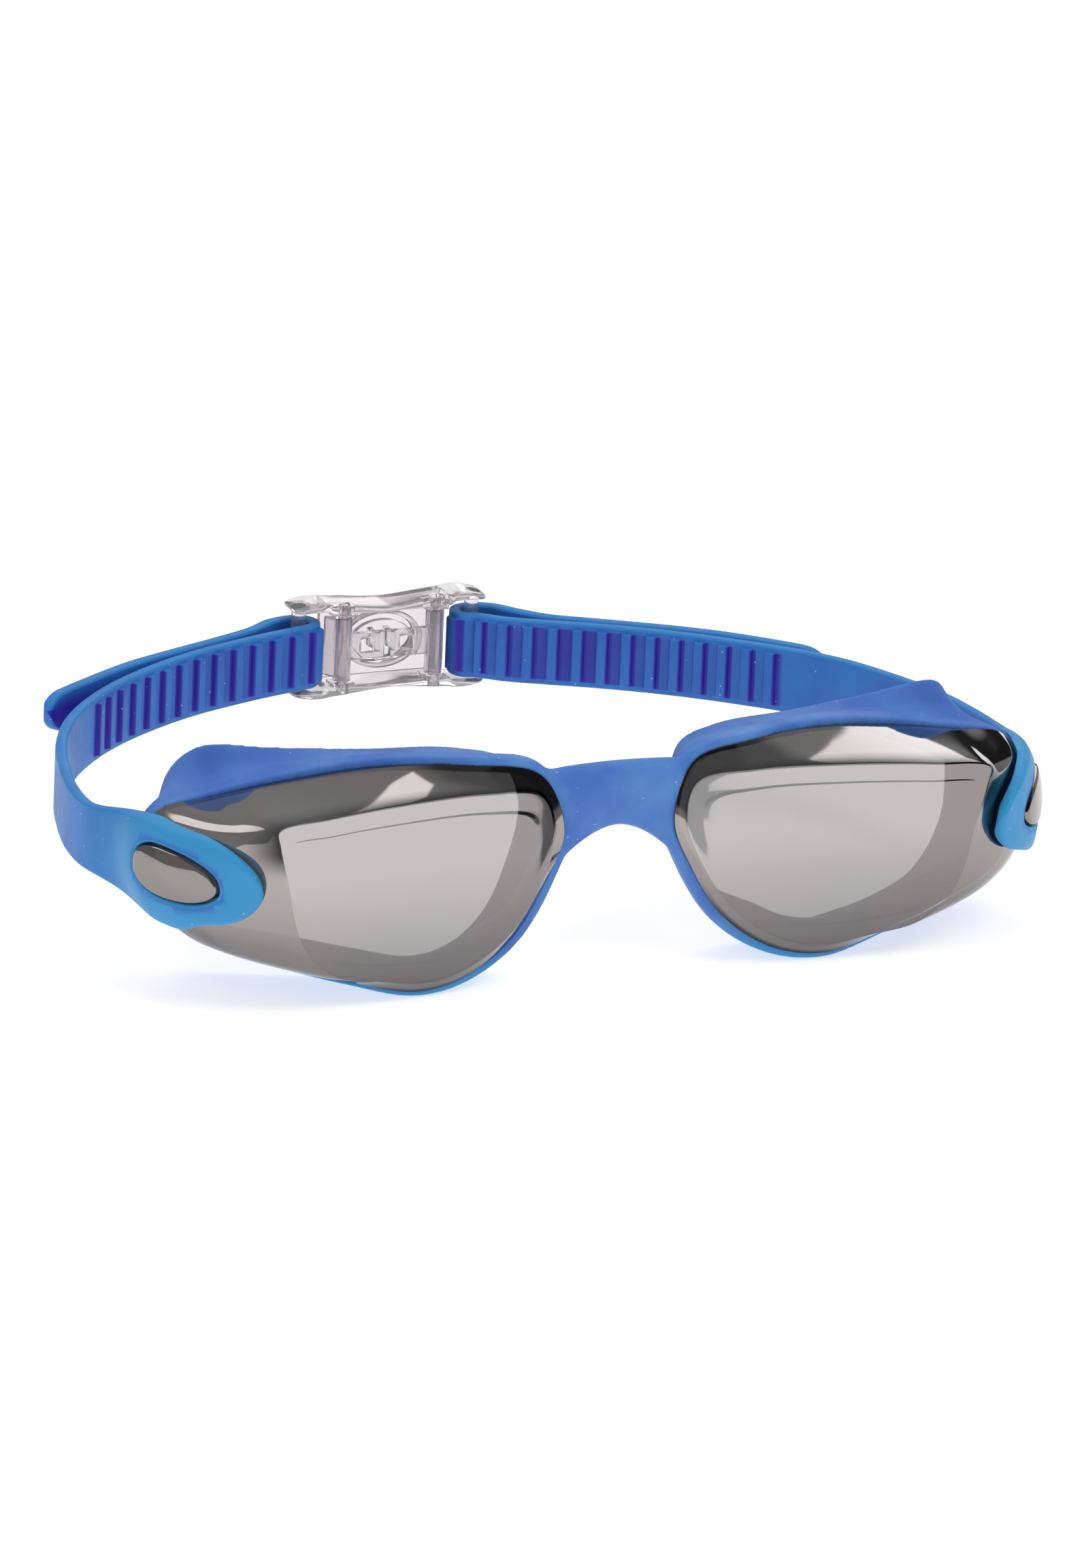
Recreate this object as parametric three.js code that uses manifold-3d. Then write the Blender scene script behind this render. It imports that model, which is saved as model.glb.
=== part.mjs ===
// Swim goggles: two mirrored lenses in a one-piece silicone seal, two silicone strap halves and a
// clear quick-adjust buckle. Millimetres, +Z up. The goggles look towards -Y and the strap runs to +Y.
// Everything is laid out about the nose line (x = 0, y = 0) on the surface they lie on (z = 0),
// and the finished group is moved so that its origin is the bottom centre of its box.
import * as THREE from 'three';
import { mergeVertices } from 'three/addons/utils/BufferGeometryUtils.js';
import Module from 'manifold-3d';

const wasm = await Module();
wasm.setup();

// ---------------------------------------------------------------- driving dimensions
const GAP = 0.3; // clearance between neighbouring pieces
const LENS_WALL = 1.6;
const LENS_FLANGE_DEPTH = 2.2; // lens edge hidden in the silicone
const LENS_FLANGE_INSET = 0.8;
const LENS_FLANGE_WALL = 1.2;
const PANEL_STEP = 0.55; // height of the raised vision panel
const SEAL_BAND_DEPTH = 3.4;
const SEAL_SKIRT_WALL = 1.1;
const SEAL_SHELF = 2.0; // how far the seal reaches in behind the lens flange
const BRIDGE_FRONT = -2.0;
const BRIDGE_BACK = 2.6;

const STRAP_THICKNESS = 2.0;
const STRAP_WIDTH = 11.4;
const STRAP_MIDDLE = 21.9; // height of the band's middle
const PAD_HEIGHT = 14.4;
const PAD_MIDDLE = 23.8;
const RIB_PITCH = 4.3;
const RIB_WIDTH = 2.3;
const RIB_HEIGHT = 0.75;
const RIB_SPAN = 0.8; // rib length as a share of the band's width
const RIBS_FROM_BUCKLE = { left: 55.0, right: 53.5 }; // where the ribs begin, back from the buckle
const KEY_LENGTH = 18.4; // lens boss that keys into the strap pad
const KEY_HEIGHT = 7.8;
const KEY_MIDDLE = 23.5;
const KEY_TAPER = 0.16; // the boss is taller at its rear end
const KEY_BLUNT = 0.82; // 1 is an ellipse, and less is squarer
const KEY_PROUD = 0.35;

const BUCKLE_RISE = { left: 0.4, right: -0.1 }; // how far each band climbs towards the buckle
const BUCKLE_X = 0.7;
const BUCKLE_Y = 109.4;
const BUCKLE_Z = STRAP_MIDDLE + 1.1; // the band rests low in the buckle
const BUCKLE_DEPTH = 7.5;
const BUCKLE_HALF_LENGTH = 17.5;
const SLOT_HALF_HEIGHT = 7.1; // half the clear height beside the posts
const RAIL_INNER = 6.4; // half the clear height between the slots
const POST_OFFSET = 15.9;
const POST_RADIUS = 1.3;
const WEB_HALF_LENGTH = 11.2;
const WEB_INNER_Y = 2.15;
const WEB_THICKNESS = 1.5;
const PIVOT_X = 8.4;
const PIVOT_Y = -2.0;
const PIN_RADIUS = 0.8;
const PIN_HALF_LENGTH = 7.6;
const BARREL_RADIUS = 1.55;
const BARREL_HALF_HEIGHT = 5.7;
const PAWL_HALF_HEIGHT = 5.2;
const ARM_HALF_HEIGHT = 2.4;
const ARM_WINDOW = 2.6;
const BUTTON_HALF_LENGTH = 6.4;
const BUTTON_HALF_HEIGHT = 4.4;
const BUTTON_FLANGE = 0.85;
const BUTTON_FLANGE_THICKNESS = 0.8;
const BUTTON_PROUD = 0.8;
const BUTTON_FOOT_Y = -0.3;

const LOOP_STEPS = 3; // loop points made for each station round a lens
const WALL_STEPS = 5;

// Stations round the right lens, from the top corner by the nose, over the brow to the temple and
// back along the cheek: edge = where the seal meets the lens, crease = where the side wall turns
// into the front, panel = outline of the raised panel, bulge = how far the side wall bows out,
// lip = how far the seal stands outside the lens, skirt = the edge that rests on the face.
const STATIONS = [
  { edge: [13.7, 0.0, 36.4], crease: [13.9, 33.2], panel: [15.4, 30.1], bulge: 0, lip: 1.4, skirt: [15.5, 12.0, 35.4] },
  { edge: [25.0, 2.6, 38.2], crease: [24.0, 35.0], panel: [24.5, 31.9], bulge: 0, lip: 1.2, skirt: [24.0, 15.5, 37.2] },
  { edge: [40.0, 7.4, 37.9], crease: [41.0, 35.4], panel: [41.0, 32.3], bulge: 0, lip: 1.2, skirt: [38.0, 18.5, 37.2] },
  { edge: [54.0, 11.6, 35.5], crease: [54.0, 35.0], panel: [53.5, 32.0], bulge: 0, lip: 1.0, skirt: [53.0, 20.8, 37.9] },
  { edge: [67.5, 14.4, 32.6], crease: [63.6, 34.2], panel: [62.2, 31.4], bulge: 0, lip: 0.6, skirt: [66.5, 22.0, 38.6] },
  { edge: [76.3, 14.9, 30.6], crease: [63.3, 31.5], panel: [62.0, 29.0], bulge: 2.6, lip: 0, skirt: [70.2, 26.6, 33.0] },
  { edge: [79.0, 14.2, 23.5], crease: [61.2, 23.0], panel: [60.4, 22.5], bulge: 4.0, lip: 0, skirt: [71.2, 26.5, 24.0] },
  { edge: [77.4, 10.6, 16.0], crease: [59.8, 16.6], panel: [59.0, 17.2], bulge: 4.0, lip: 0, skirt: [69.5, 23.0, 14.0] },
  { edge: [72.0, 5.4, 10.8], crease: [57.0, 11.0], panel: [56.2, 12.9], bulge: 2.6, lip: 0.2, skirt: [62.0, 17.0, 6.5] },
  { edge: [60.0, 0.4, 6.9], crease: [51.5, 6.9], panel: [51.5, 9.4], bulge: 1.0, lip: 0.3, skirt: [53.0, 12.5, 4.0] },
  { edge: [48.0, -3.0, 4.1], crease: [44.0, 5.3], panel: [44.0, 8.0], bulge: 0.3, lip: 0.7, skirt: [44.0, 9.5, 2.9] },
  { edge: [36.5, -5.0, 2.1], crease: [36.0, 4.1], panel: [36.2, 7.5], bulge: 0, lip: 1.1, skirt: [35.5, 8.0, 2.2] },
  { edge: [27.4, -4.2, 3.7], crease: [28.5, 5.6], panel: [29.6, 8.4], bulge: 0, lip: 1.4, skirt: [27.0, 7.8, 3.6] },
  { edge: [18.8, -3.2, 9.6], crease: [20.6, 10.6], panel: [22.8, 13.5], bulge: 0, lip: 1.8, skirt: [20.0, 8.0, 9.0] },
  { edge: [12.9, -2.4, 18.8], crease: [14.8, 18.6], panel: [17.8, 20.0], bulge: 0, lip: 1.8, skirt: [15.5, 8.5, 18.0] },
  { edge: [9.9, -1.8, 27.0], crease: [11.9, 27.0], panel: [14.7, 26.5], bulge: 0, lip: 1.5, skirt: [13.2, 9.5, 29.0] },
];
const PANEL_CENTRE = [38.0, 20.5];

// Plan of each strap band behind its pad, from the temple to the buckle post, and of its free tail.
const BAND_LEFT = [
  [-80.3, 22.0], [-82.3, 30.0], [-82.0, 39.0], [-79.5, 50.4], [-76.1, 61.0], [-70.5, 72.1],
  [-63.7, 80.9], [-56.0, 88.2], [-46.6, 94.6], [-37.8, 99.1], [-29.8, 102.1], [-22.2, 104.6],
];
const TAIL_LEFT = [
  [-19.6, 111.2], [-24.5, 107.8], [-31.7, 104.4], [-41.2, 100.4], [-50.9, 96.0], [-61.4, 89.4],
  [-66.9, 85.6], [-71.0, 82.3],
];
const BAND_RIGHT = [
  [80.3, 22.0], [80.6, 30.0], [79.8, 37.5], [78.0, 46.3], [74.0, 56.6], [68.7, 66.7],
  [62.9, 73.8], [55.9, 80.3], [48.8, 86.2], [41.4, 91.5], [33.7, 96.2], [26.4, 100.1], [20.7, 103.3],
];
const TAIL_RIGHT = [
  [20.6, 111.0], [24.4, 106.6], [28.3, 102.6], [34.9, 98.6], [41.7, 94.5], [48.2, 90.4],
  [54.4, 85.8], [60.0, 80.7], [64.6, 76.0], [67.4, 72.5],
];

// ---------------------------------------------------------------- shared geometry helpers
function meshGeometry(points, triangles) {
  const geometry = new THREE.BufferGeometry();
  geometry.setAttribute('position', new THREE.Float32BufferAttribute(points.flatMap((p) => [p.x, p.y, p.z]), 3));
  geometry.setIndex(triangles.flat());
  return outward(geometry);
}

function signedVolume(geometry) {
  const position = geometry.getAttribute('position');
  const index = geometry.getIndex();
  const [a, b, c] = [new THREE.Vector3(), new THREE.Vector3(), new THREE.Vector3()];
  let total = 0;
  for (let i = 0; i < index.count; i += 3) {
    a.fromBufferAttribute(position, index.getX(i));
    b.fromBufferAttribute(position, index.getX(i + 1));
    c.fromBufferAttribute(position, index.getX(i + 2));
    total += a.dot(b.cross(c)) / 6;
  }
  return total;
}

// The same surface with shared corners merged and its faces pointing out.
function outward(source) {
  const geometry = source.clone();
  geometry.deleteAttribute('normal');
  geometry.deleteAttribute('uv');
  const merged = mergeVertices(geometry, 1e-4);
  if (signedVolume(merged) < 0) {
    const index = merged.getIndex();
    for (let i = 0; i < index.count; i += 3) {
      const second = index.getX(i + 1);
      index.setX(i + 1, index.getX(i + 2));
      index.setX(i + 2, second);
    }
  }
  return merged;
}

function solid(geometry) {
  const merged = outward(geometry);
  const mesh = new wasm.Mesh({
    numProp: 3,
    vertProperties: new Float32Array(merged.getAttribute('position').array),
    triVerts: new Uint32Array(merged.getIndex().array),
  });
  return new wasm.Manifold(mesh);
}

function geometryOf(manifold) {
  const mesh = manifold.getMesh();
  const geometry = new THREE.BufferGeometry();
  geometry.setAttribute('position', new THREE.BufferAttribute(new Float32Array(mesh.vertProperties), 3));
  geometry.setIndex(new THREE.BufferAttribute(new Uint32Array(mesh.triVerts), 1));
  return geometry;
}

function joined(...geometries) {
  return geometryOf(geometries.map(solid).reduce((sum, next) => sum.add(next)));
}

function cut(geometry, ...tools) {
  return geometryOf(tools.map(solid).reduce((rest, tool) => rest.subtract(tool), solid(geometry)));
}

function common(first, second) {
  return geometryOf(solid(first).intersect(solid(second)));
}

function mirrored(geometry) {
  return outward(geometry.clone().scale(-1, 1, 1));
}

// A skin between rings of equal point count, closed by a pole point at each end.
function poleLoft(rings, firstPole, lastPole) {
  const count = rings[0].length;
  const points = [firstPole, ...rings.flat(), lastPole];
  const triangles = [];
  const at = (ring, i) => 1 + ring * count + (i % count);
  for (let i = 0; i < count; i += 1) {
    triangles.push([0, at(0, i + 1), at(0, i)]);
    triangles.push([points.length - 1, at(rings.length - 1, i), at(rings.length - 1, i + 1)]);
    for (let ring = 0; ring < rings.length - 1; ring += 1) {
      triangles.push([at(ring, i), at(ring, i + 1), at(ring + 1, i + 1)]);
      triangles.push([at(ring, i), at(ring + 1, i + 1), at(ring + 1, i)]);
    }
  }
  return meshGeometry(points, triangles);
}

// A bar through equal sections, with a fan closing each end.
function barLoft(sections) {
  const centre = (ring) => ring.reduce((sum, p) => sum.add(p), new THREE.Vector3()).divideScalar(ring.length);
  return poleLoft(sections, centre(sections[0]), centre(sections[sections.length - 1]));
}

// A closed ring through equal sections, such as a gasket.
function ringLoft(sections) {
  const count = sections[0].length;
  const triangles = [];
  const at = (section, i) => (section % sections.length) * count + (i % count);
  for (let section = 0; section < sections.length; section += 1) {
    for (let i = 0; i < count; i += 1) {
      triangles.push([at(section, i), at(section, i + 1), at(section + 1, i + 1)]);
      triangles.push([at(section, i), at(section + 1, i + 1), at(section + 1, i)]);
    }
  }
  return meshGeometry(sections.flat(), triangles);
}

function loopThrough(points, closed = true) {
  return new THREE.CatmullRomCurve3(points, closed, 'centripetal');
}

function box(x0, x1, y0, y1, z0, z1) {
  const geometry = new THREE.BoxGeometry(x1 - x0, y1 - y0, z1 - z0);
  return geometry.translate((x0 + x1) / 2, (y0 + y1) / 2, (z0 + z1) / 2);
}

function uprightCylinder(radius, halfHeight, x, y, sides = 24) {
  return new THREE.CylinderGeometry(radius, radius, 2 * halfHeight, sides).rotateX(Math.PI / 2).translate(x, y, 0);
}

// A prism that stands along Y, from an outline drawn in X and Z.
function prismAlongY(shape, y0, y1) {
  const geometry = new THREE.ExtrudeGeometry(shape, { depth: y1 - y0, bevelEnabled: false, curveSegments: 10 });
  return outward(geometry.rotateX(Math.PI / 2).translate(0, y1, 0));
}

// A prism that stands along Z, from an outline drawn in X and Y.
function prismAlongZ(outline, halfHeight) {
  const shape = new THREE.Shape(outline.map(([x, y]) => new THREE.Vector2(x, y)));
  const geometry = new THREE.ExtrudeGeometry(shape, { depth: 2 * halfHeight, bevelEnabled: false });
  return geometry.translate(0, 0, -halfHeight);
}

// ---------------------------------------------------------------- lens surfaces
// The front bows forward from the nose to the temple and leans more beside the nose.
function frontY(x, z) {
  const nose = 0.2 * Math.exp(-(x - 13) / 18);
  return -1.0 - 0.165 * (x - 13) - nose * (35 - z);
}

const LOOP_COUNT = STATIONS.length * LOOP_STEPS;
const sampled = (curve) => Array.from({ length: LOOP_COUNT }, (_, i) => curve.getPoint(i / LOOP_COUNT));
const onFront = ([x, z]) => new THREE.Vector3(x, frontY(x, z), z);

const edgeLoop = sampled(loopThrough(STATIONS.map((s) => new THREE.Vector3(...s.edge))));
const creaseLoop = sampled(loopThrough(STATIONS.map((s) => onFront(s.crease))));
const panelLoop = sampled(loopThrough(STATIONS.map((s) => onFront(s.panel))));
const skirtLoop = sampled(loopThrough(STATIONS.map((s) => new THREE.Vector3(...s.skirt))));
const shapeLoop = sampled(loopThrough(STATIONS.map((s) => new THREE.Vector3(s.bulge, s.lip, 0))));

// Direction that points out of the lens outline, seen from the front.
function outwardNormals(loop) {
  return loop.map((_, i) => {
    const before = loop[(i + LOOP_COUNT - 1) % LOOP_COUNT];
    const after = loop[(i + 1) % LOOP_COUNT];
    const along = after.clone().sub(before);
    return new THREE.Vector3(-along.z, 0, along.x).normalize();
  });
}
const edgeNormals = outwardNormals(edgeLoop);

// Side wall of the lens: share 0 is the edge in the seal and share 1 the crease at the front.
function wallPoint(i, share) {
  const edge = edgeLoop[i];
  const crease = creaseLoop[i];
  const chord = crease.clone().sub(edge);
  const side = new THREE.Vector3(-chord.y, chord.x, 0).normalize();
  const bow = Math.max(shapeLoop[i].x, 0) * 4 * share * (1 - share);
  return edge.clone().lerp(crease, share).addScaledVector(side, bow);
}

function shifted(loop, normals, outwardBy, backBy) {
  return loop.map((p, i) => p.clone().addScaledVector(normals[i], outwardBy).add(new THREE.Vector3(0, backBy, 0)));
}

function towardsCentre(loop, share, forward) {
  return loop.map((p) => {
    const x = THREE.MathUtils.lerp(p.x, PANEL_CENTRE[0], share);
    const z = THREE.MathUtils.lerp(p.z, PANEL_CENTRE[1], share);
    return new THREE.Vector3(x, frontY(x, z) - forward, z);
  });
}

function lensShell() {
  const wallShares = Array.from({ length: WALL_STEPS }, (_, k) => k / WALL_STEPS);
  const wallRings = wallShares.map((share) => edgeLoop.map((_, i) => wallPoint(i, share)));
  const flangeOuter = shifted(edgeLoop, edgeNormals, -LENS_FLANGE_INSET, LENS_FLANGE_DEPTH);
  const flangeInner = shifted(flangeOuter, edgeNormals, -LENS_FLANGE_WALL, 0);
  const innerWall = wallRings.slice(1).map((ring, k) => {
    const share = wallShares[k + 1];
    return shifted(ring, edgeNormals, -LENS_WALL, LENS_WALL * share + 0.4 * (1 - share));
  });
  const innerCrease = shifted(creaseLoop, edgeNormals, -LENS_WALL, LENS_WALL);
  const centre = new THREE.Vector3(PANEL_CENTRE[0], 0, PANEL_CENTRE[1]);
  const outerPole = centre.clone().setY(frontY(centre.x, centre.z) - PANEL_STEP);
  const innerPole = centre.clone().setY(frontY(centre.x, centre.z) + LENS_WALL);
  const rings = [
    towardsCentre(panelLoop, 0.5, PANEL_STEP),
    towardsCentre(panelLoop, 0.03, PANEL_STEP),
    panelLoop,
    creaseLoop,
    ...wallRings.slice(1).reverse(),
    edgeLoop,
    shifted(edgeLoop, edgeNormals, -LENS_FLANGE_INSET, 0.05),
    flangeOuter,
    flangeInner,
    ...innerWall,
    innerCrease,
    towardsCentre(panelLoop, 0.5, -LENS_WALL),
  ];
  return poleLoft(rings, outerPole, innerPole);
}

// ---------------------------------------------------------------- strap pad and its key
// Height profile of the temple wall: the wall point at a given share and height.
const TEMPLE_FIRST = 3 * LOOP_STEPS + 1;
const TEMPLE_LAST = 9 * LOOP_STEPS;

function wallAtHeight(share, z) {
  let above = wallPoint(TEMPLE_FIRST, share);
  for (let i = TEMPLE_FIRST + 1; i <= TEMPLE_LAST; i += 1) {
    const below = wallPoint(i, share);
    if (below.z <= z) {
      const part = THREE.MathUtils.clamp((above.z - z) / Math.max(above.z - below.z, 1e-6), 0, 1);
      return above.clone().lerp(below, part);
    }
    above = below;
  }
  return above;
}

// Plan route of a strap half: over the temple wall, along the band, round the post and down the tail.
const PAD_TIP_SHARE = 0.87;
const PAD_SHARES = [PAD_TIP_SHARE, 0.7, 0.52, 0.34, 0.17, 0.02];
const PAD_CLEARANCE = 0.6; // the curved wall comes nearer to the pad than this between sections
const PAD_OFFSET = PAD_CLEARANCE + STRAP_THICKNESS / 2;
const TURN_RADIUS = 2.8; // the band turns loosely round the post

function strapRoute(band, tail, side) {
  const pad = PAD_SHARES.map((share) => {
    const here = wallAtHeight(share, PAD_MIDDLE);
    const ahead = wallAtHeight(share - 0.02, PAD_MIDDLE);
    const along = ahead.sub(here).setZ(0).normalize();
    return new THREE.Vector3(here.x + along.y * PAD_OFFSET, here.y - along.x * PAD_OFFSET, 0);
  });
  const postX = side * POST_OFFSET + BUCKLE_X;
  const turn = [-90, -45, 0, 45, 90].map((degrees) => {
    const angle = THREE.MathUtils.degToRad(degrees);
    const x = postX - side * TURN_RADIUS * Math.cos(angle);
    return new THREE.Vector3(x, BUCKLE_Y + TURN_RADIUS * Math.sin(angle), 0);
  });
  const points = [
    ...pad.map((p) => new THREE.Vector3(side * p.x, p.y, 0)),
    ...band.map(([x, y]) => new THREE.Vector3(x, y, 0)),
    ...turn,
    ...tail.map(([x, y]) => new THREE.Vector3(x, y, 0)),
  ];
  const curve = loopThrough(points, false);
  curve.arcLengthDivisions = 1200;
  const length = curve.getLength();
  const distanceAt = (index) => curve.getLengths()[Math.round((1200 * index) / (points.length - 1))];
  const turnStart = distanceAt(pad.length + band.length);
  const hand = side < 0 ? 'left' : 'right';
  return {
    curve,
    length,
    turnStart,
    padEnd: distanceAt(pad.length - 1),
    ribStart: turnStart - RIBS_FROM_BUCKLE[hand],
    buckleRise: BUCKLE_RISE[hand],
  };
}

const smooth = (value, from, to) => THREE.MathUtils.smoothstep(value, from, to);
const NECK_LENGTH = 19;
const TAIL_ROUND = 4.5;
const TAIL_TAPER = 0.4; // share of its height the tail loses from below towards its tip
const TAPER_LENGTH = 18;
const TAIL_LIFT = 0.3; // the tip's round end is cut away more below than above
const PAD_DROP = 2.6; // the rear of the pad reaches lower than its tip

// Half height and middle height of the strap at a distance from the tip of its pad.
function strapHeight(distance, route) {
  const neck = smooth(distance, route.padEnd - 4, route.padEnd + NECK_LENGTH);
  const drop = PAD_DROP * smooth(distance, 10, 22) * (1 - smooth(distance, 26, 44));
  const rise = route.buckleRise * smooth(distance, route.turnStart - 50, route.turnStart - 8);
  const taper = 1 - TAIL_TAPER * (1 - smooth(route.length - distance, 2, TAPER_LENGTH));
  const untapered = THREE.MathUtils.lerp(PAD_HEIGHT / 2, STRAP_WIDTH / 2, neck) + drop / 2;
  const full = untapered * taper;
  const middle = THREE.MathUtils.lerp(PAD_MIDDLE, STRAP_MIDDLE, neck) - drop / 2 + rise;
  const nose = THREE.MathUtils.clamp((distance + 0.25) / 13, 0, 1);
  const tail = THREE.MathUtils.clamp((route.length - distance + 0.25) / TAIL_ROUND, 0, 1);
  const half = full * Math.sqrt(1 - (1 - nose) ** 2) * Math.sqrt(1 - (1 - tail) ** 2);
  const lift = distance > route.padEnd ? TAIL_LIFT * (full - half) : 0;
  return { half, middle: middle + lift + untapered - full };
}

// One section of the strap: six rows up the face that rests on the head, three down the outside.
const PAD_ROWS = [-1, -0.6, -0.2, 0.2, 0.6, 1];
const BAND_ROWS = [-1, -RIB_SPAN - 0.02, -RIB_SPAN, RIB_SPAN, RIB_SPAN + 0.02, 1];
const OUTER_ROWS = [1, 0, -1];

function strapSection(distance, route, side, rib, thickness = STRAP_THICKNESS, offset = 0) {
  const share = distance / route.length;
  const here = route.curve.getPointAt(share);
  const along = route.curve.getTangentAt(share);
  const outwardDirection = new THREE.Vector3(side * along.y, -side * along.x, 0);
  const { half, middle } = strapHeight(distance, route);
  const wallShare = PAD_TIP_SHARE * THREE.MathUtils.clamp(1 - distance / route.padEnd, 0, 1);
  const follow = 1 - smooth(distance, route.padEnd, route.padEnd + NECK_LENGTH);
  const wallMiddle = wallAtHeight(wallShare, PAD_MIDDLE);
  const place = (row, depth) => {
    const z = middle + row * half;
    const lean = wallAtHeight(wallShare, z).sub(wallMiddle).multiplyScalar(follow);
    const point = here.clone().addScaledVector(outwardDirection, depth + offset);
    return point.add(new THREE.Vector3(side * lean.x, lean.y, z));
  };
  const bandShare = smooth(distance, route.padEnd, route.padEnd + NECK_LENGTH);
  const inner = PAD_ROWS.map((row, k) => {
    const blended = THREE.MathUtils.lerp(row, BAND_ROWS[k], bandShare);
    const raised = k === 2 || k === 3 ? rib : 0;
    return place(blended, -thickness / 2 - raised);
  });
  return [...inner, ...OUTER_ROWS.map((row) => place(row, thickness / 2))];
}

// Distances where the strap is cut into sections, with the rib height at each.
function strapStations(route) {
  const stations = [0, 0.8, 2, 4, 7, 10.5, 14, 18, 22, 26].map((distance) => ({ distance, rib: 0 }));
  for (let distance = 30; distance < route.ribStart - 2; distance += 4.5) {
    stations.push({ distance, rib: 0 });
  }
  const ribEnd = route.length - TAPER_LENGTH - RIB_WIDTH;
  for (let start = route.ribStart; start < ribEnd; start += RIB_PITCH) {
    stations.push({ distance: start, rib: 0 });
    stations.push({ distance: start + 0.1, rib: RIB_HEIGHT });
    stations.push({ distance: start + RIB_WIDTH - 0.1, rib: RIB_HEIGHT });
    stations.push({ distance: start + RIB_WIDTH, rib: 0 });
  }
  for (const back of [TAPER_LENGTH, 14, 10.5, 7, TAIL_ROUND, 3, 1.6, 0.6, 0]) {
    stations.push({ distance: route.length - back, rib: 0 });
  }
  return stations;
}

// The egg-shaped key, as a prism square to the temple wall at the key's middle.
function keyPrism(grow) {
  const outline = [];
  const sides = 32;
  for (let k = 0; k < sides; k += 1) {
    const angle = (2 * Math.PI * k) / sides;
    const [c, s] = [Math.cos(angle), Math.sin(angle)];
    const x = (KEY_LENGTH / 2 + grow) * Math.sign(c) * Math.abs(c) ** KEY_BLUNT;
    const y = (KEY_HEIGHT / 2 + grow) * Math.sign(s) * Math.abs(s) ** KEY_BLUNT * (1 + KEY_TAPER * c);
    outline.push(new THREE.Vector2(x, y));
  }
  const depth = 18;
  const geometry = new THREE.ExtrudeGeometry(new THREE.Shape(outline), { depth, bevelEnabled: false, steps: 1 });
  geometry.translate(0, 0, -depth / 2);
  const front = wallAtHeight(0.64, PAD_MIDDLE);
  const rear = wallAtHeight(0.05, PAD_MIDDLE);
  const along = rear.clone().sub(front).setZ(0).normalize();
  const up = new THREE.Vector3(0, 0, 1);
  const out = along.clone().cross(up);
  const centre = front.clone().lerp(rear, 0.5).setZ(KEY_MIDDLE);
  const basis = new THREE.Matrix4().makeBasis(along, up, out).setPosition(centre);
  return geometry.applyMatrix4(basis);
}

function strap(band, tail, side) {
  const route = strapRoute(band, tail, side);
  const sections = strapStations(route).map(({ distance, rib }) => strapSection(distance, route, side, rib));
  const prism = keyPrism(GAP);
  return cut(barLoft(sections), side > 0 ? prism : mirrored(prism));
}

// The lens boss fills the hole in the pad and stands slightly proud of it.
function lensWithKey() {
  const route = strapRoute(BAND_RIGHT, TAIL_RIGHT, 1);
  const root = PAD_CLEARANCE + 0.6;
  const thickness = STRAP_THICKNESS + root + KEY_PROUD;
  const offset = (KEY_PROUD - root) / 2;
  const distances = Array.from({ length: 13 }, (_, k) => 3 + k * 2.2);
  const slab = barLoft(distances.map((distance) => strapSection(distance, route, 1, 0, thickness, offset)));
  return joined(lensShell(), common(slab, keyPrism(0)));
}

// ---------------------------------------------------------------- silicone seal with nose bridge
function sealSection(i) {
  const edge = edgeLoop[i];
  const normal = edgeNormals[i];
  const skirt = skirtLoop[i];
  const lip = Math.max(shapeLoop[i].y, 0);
  const at = (out, back) => edge.clone().addScaledVector(normal, out).add(new THREE.Vector3(0, back, 0));
  const lipInner = GAP - LENS_FLANGE_INSET;
  const shelfBack = LENS_FLANGE_DEPTH + GAP;
  const bandRear = at(lip, SEAL_BAND_DEPTH);
  const innerRear = at(-SEAL_SHELF, SEAL_BAND_DEPTH + 0.8);
  const toSkirt = skirt.clone().sub(bandRear);
  const inwards = toSkirt.clone().cross(loopTangent(i)).normalize().multiplyScalar(SEAL_SKIRT_WALL);
  const waist = bandRear.clone().lerp(skirt, 0.45).add(inwards.clone().multiplyScalar(0.7));
  return [
    at(lipInner, GAP),
    at(Math.max(lip - 0.4, lipInner + 0.3), GAP),
    at(lip, 1.1),
    bandRear,
    waist,
    skirt,
    skirt.clone().add(inwards),
    waist.clone().add(inwards.clone().multiplyScalar(1.3)),
    innerRear,
    at(-SEAL_SHELF, shelfBack),
    at(lipInner, shelfBack),
  ];
}

function loopTangent(i) {
  const before = edgeLoop[(i + LOOP_COUNT - 1) % LOOP_COUNT];
  const after = edgeLoop[(i + 1) % LOOP_COUNT];
  return after.clone().sub(before).normalize();
}

// Outline of the bridge from the front top, down the front and up the back:
// half length where it meets the seal, height at the nose line and at the seal, and depth.
const BRIDGE_OUTLINE = [
  { reach: 12.6, middle: 37.4, end: 37.0, y: 1.4 },
  { reach: 11.6, middle: 36.9, end: 35.0, y: BRIDGE_FRONT + 1.1 },
  { reach: 9.6, middle: 34.2, end: 31.0, y: BRIDGE_FRONT },
  { reach: 8.9, middle: 30.2, end: 26.5, y: BRIDGE_FRONT },
  { reach: 10.3, middle: 27.2, end: 21.5, y: BRIDGE_FRONT + 0.6 },
  { reach: 11.4, middle: 26.6, end: 19.6, y: 0.2 },
  { reach: 10.3, middle: 27.4, end: 21.5, y: 1.6 },
  { reach: 8.9, middle: 30.2, end: 26.5, y: BRIDGE_BACK },
  { reach: 9.6, middle: 34.2, end: 31.0, y: BRIDGE_BACK },
  { reach: 11.6, middle: 36.6, end: 35.0, y: BRIDGE_BACK },
];

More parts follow.
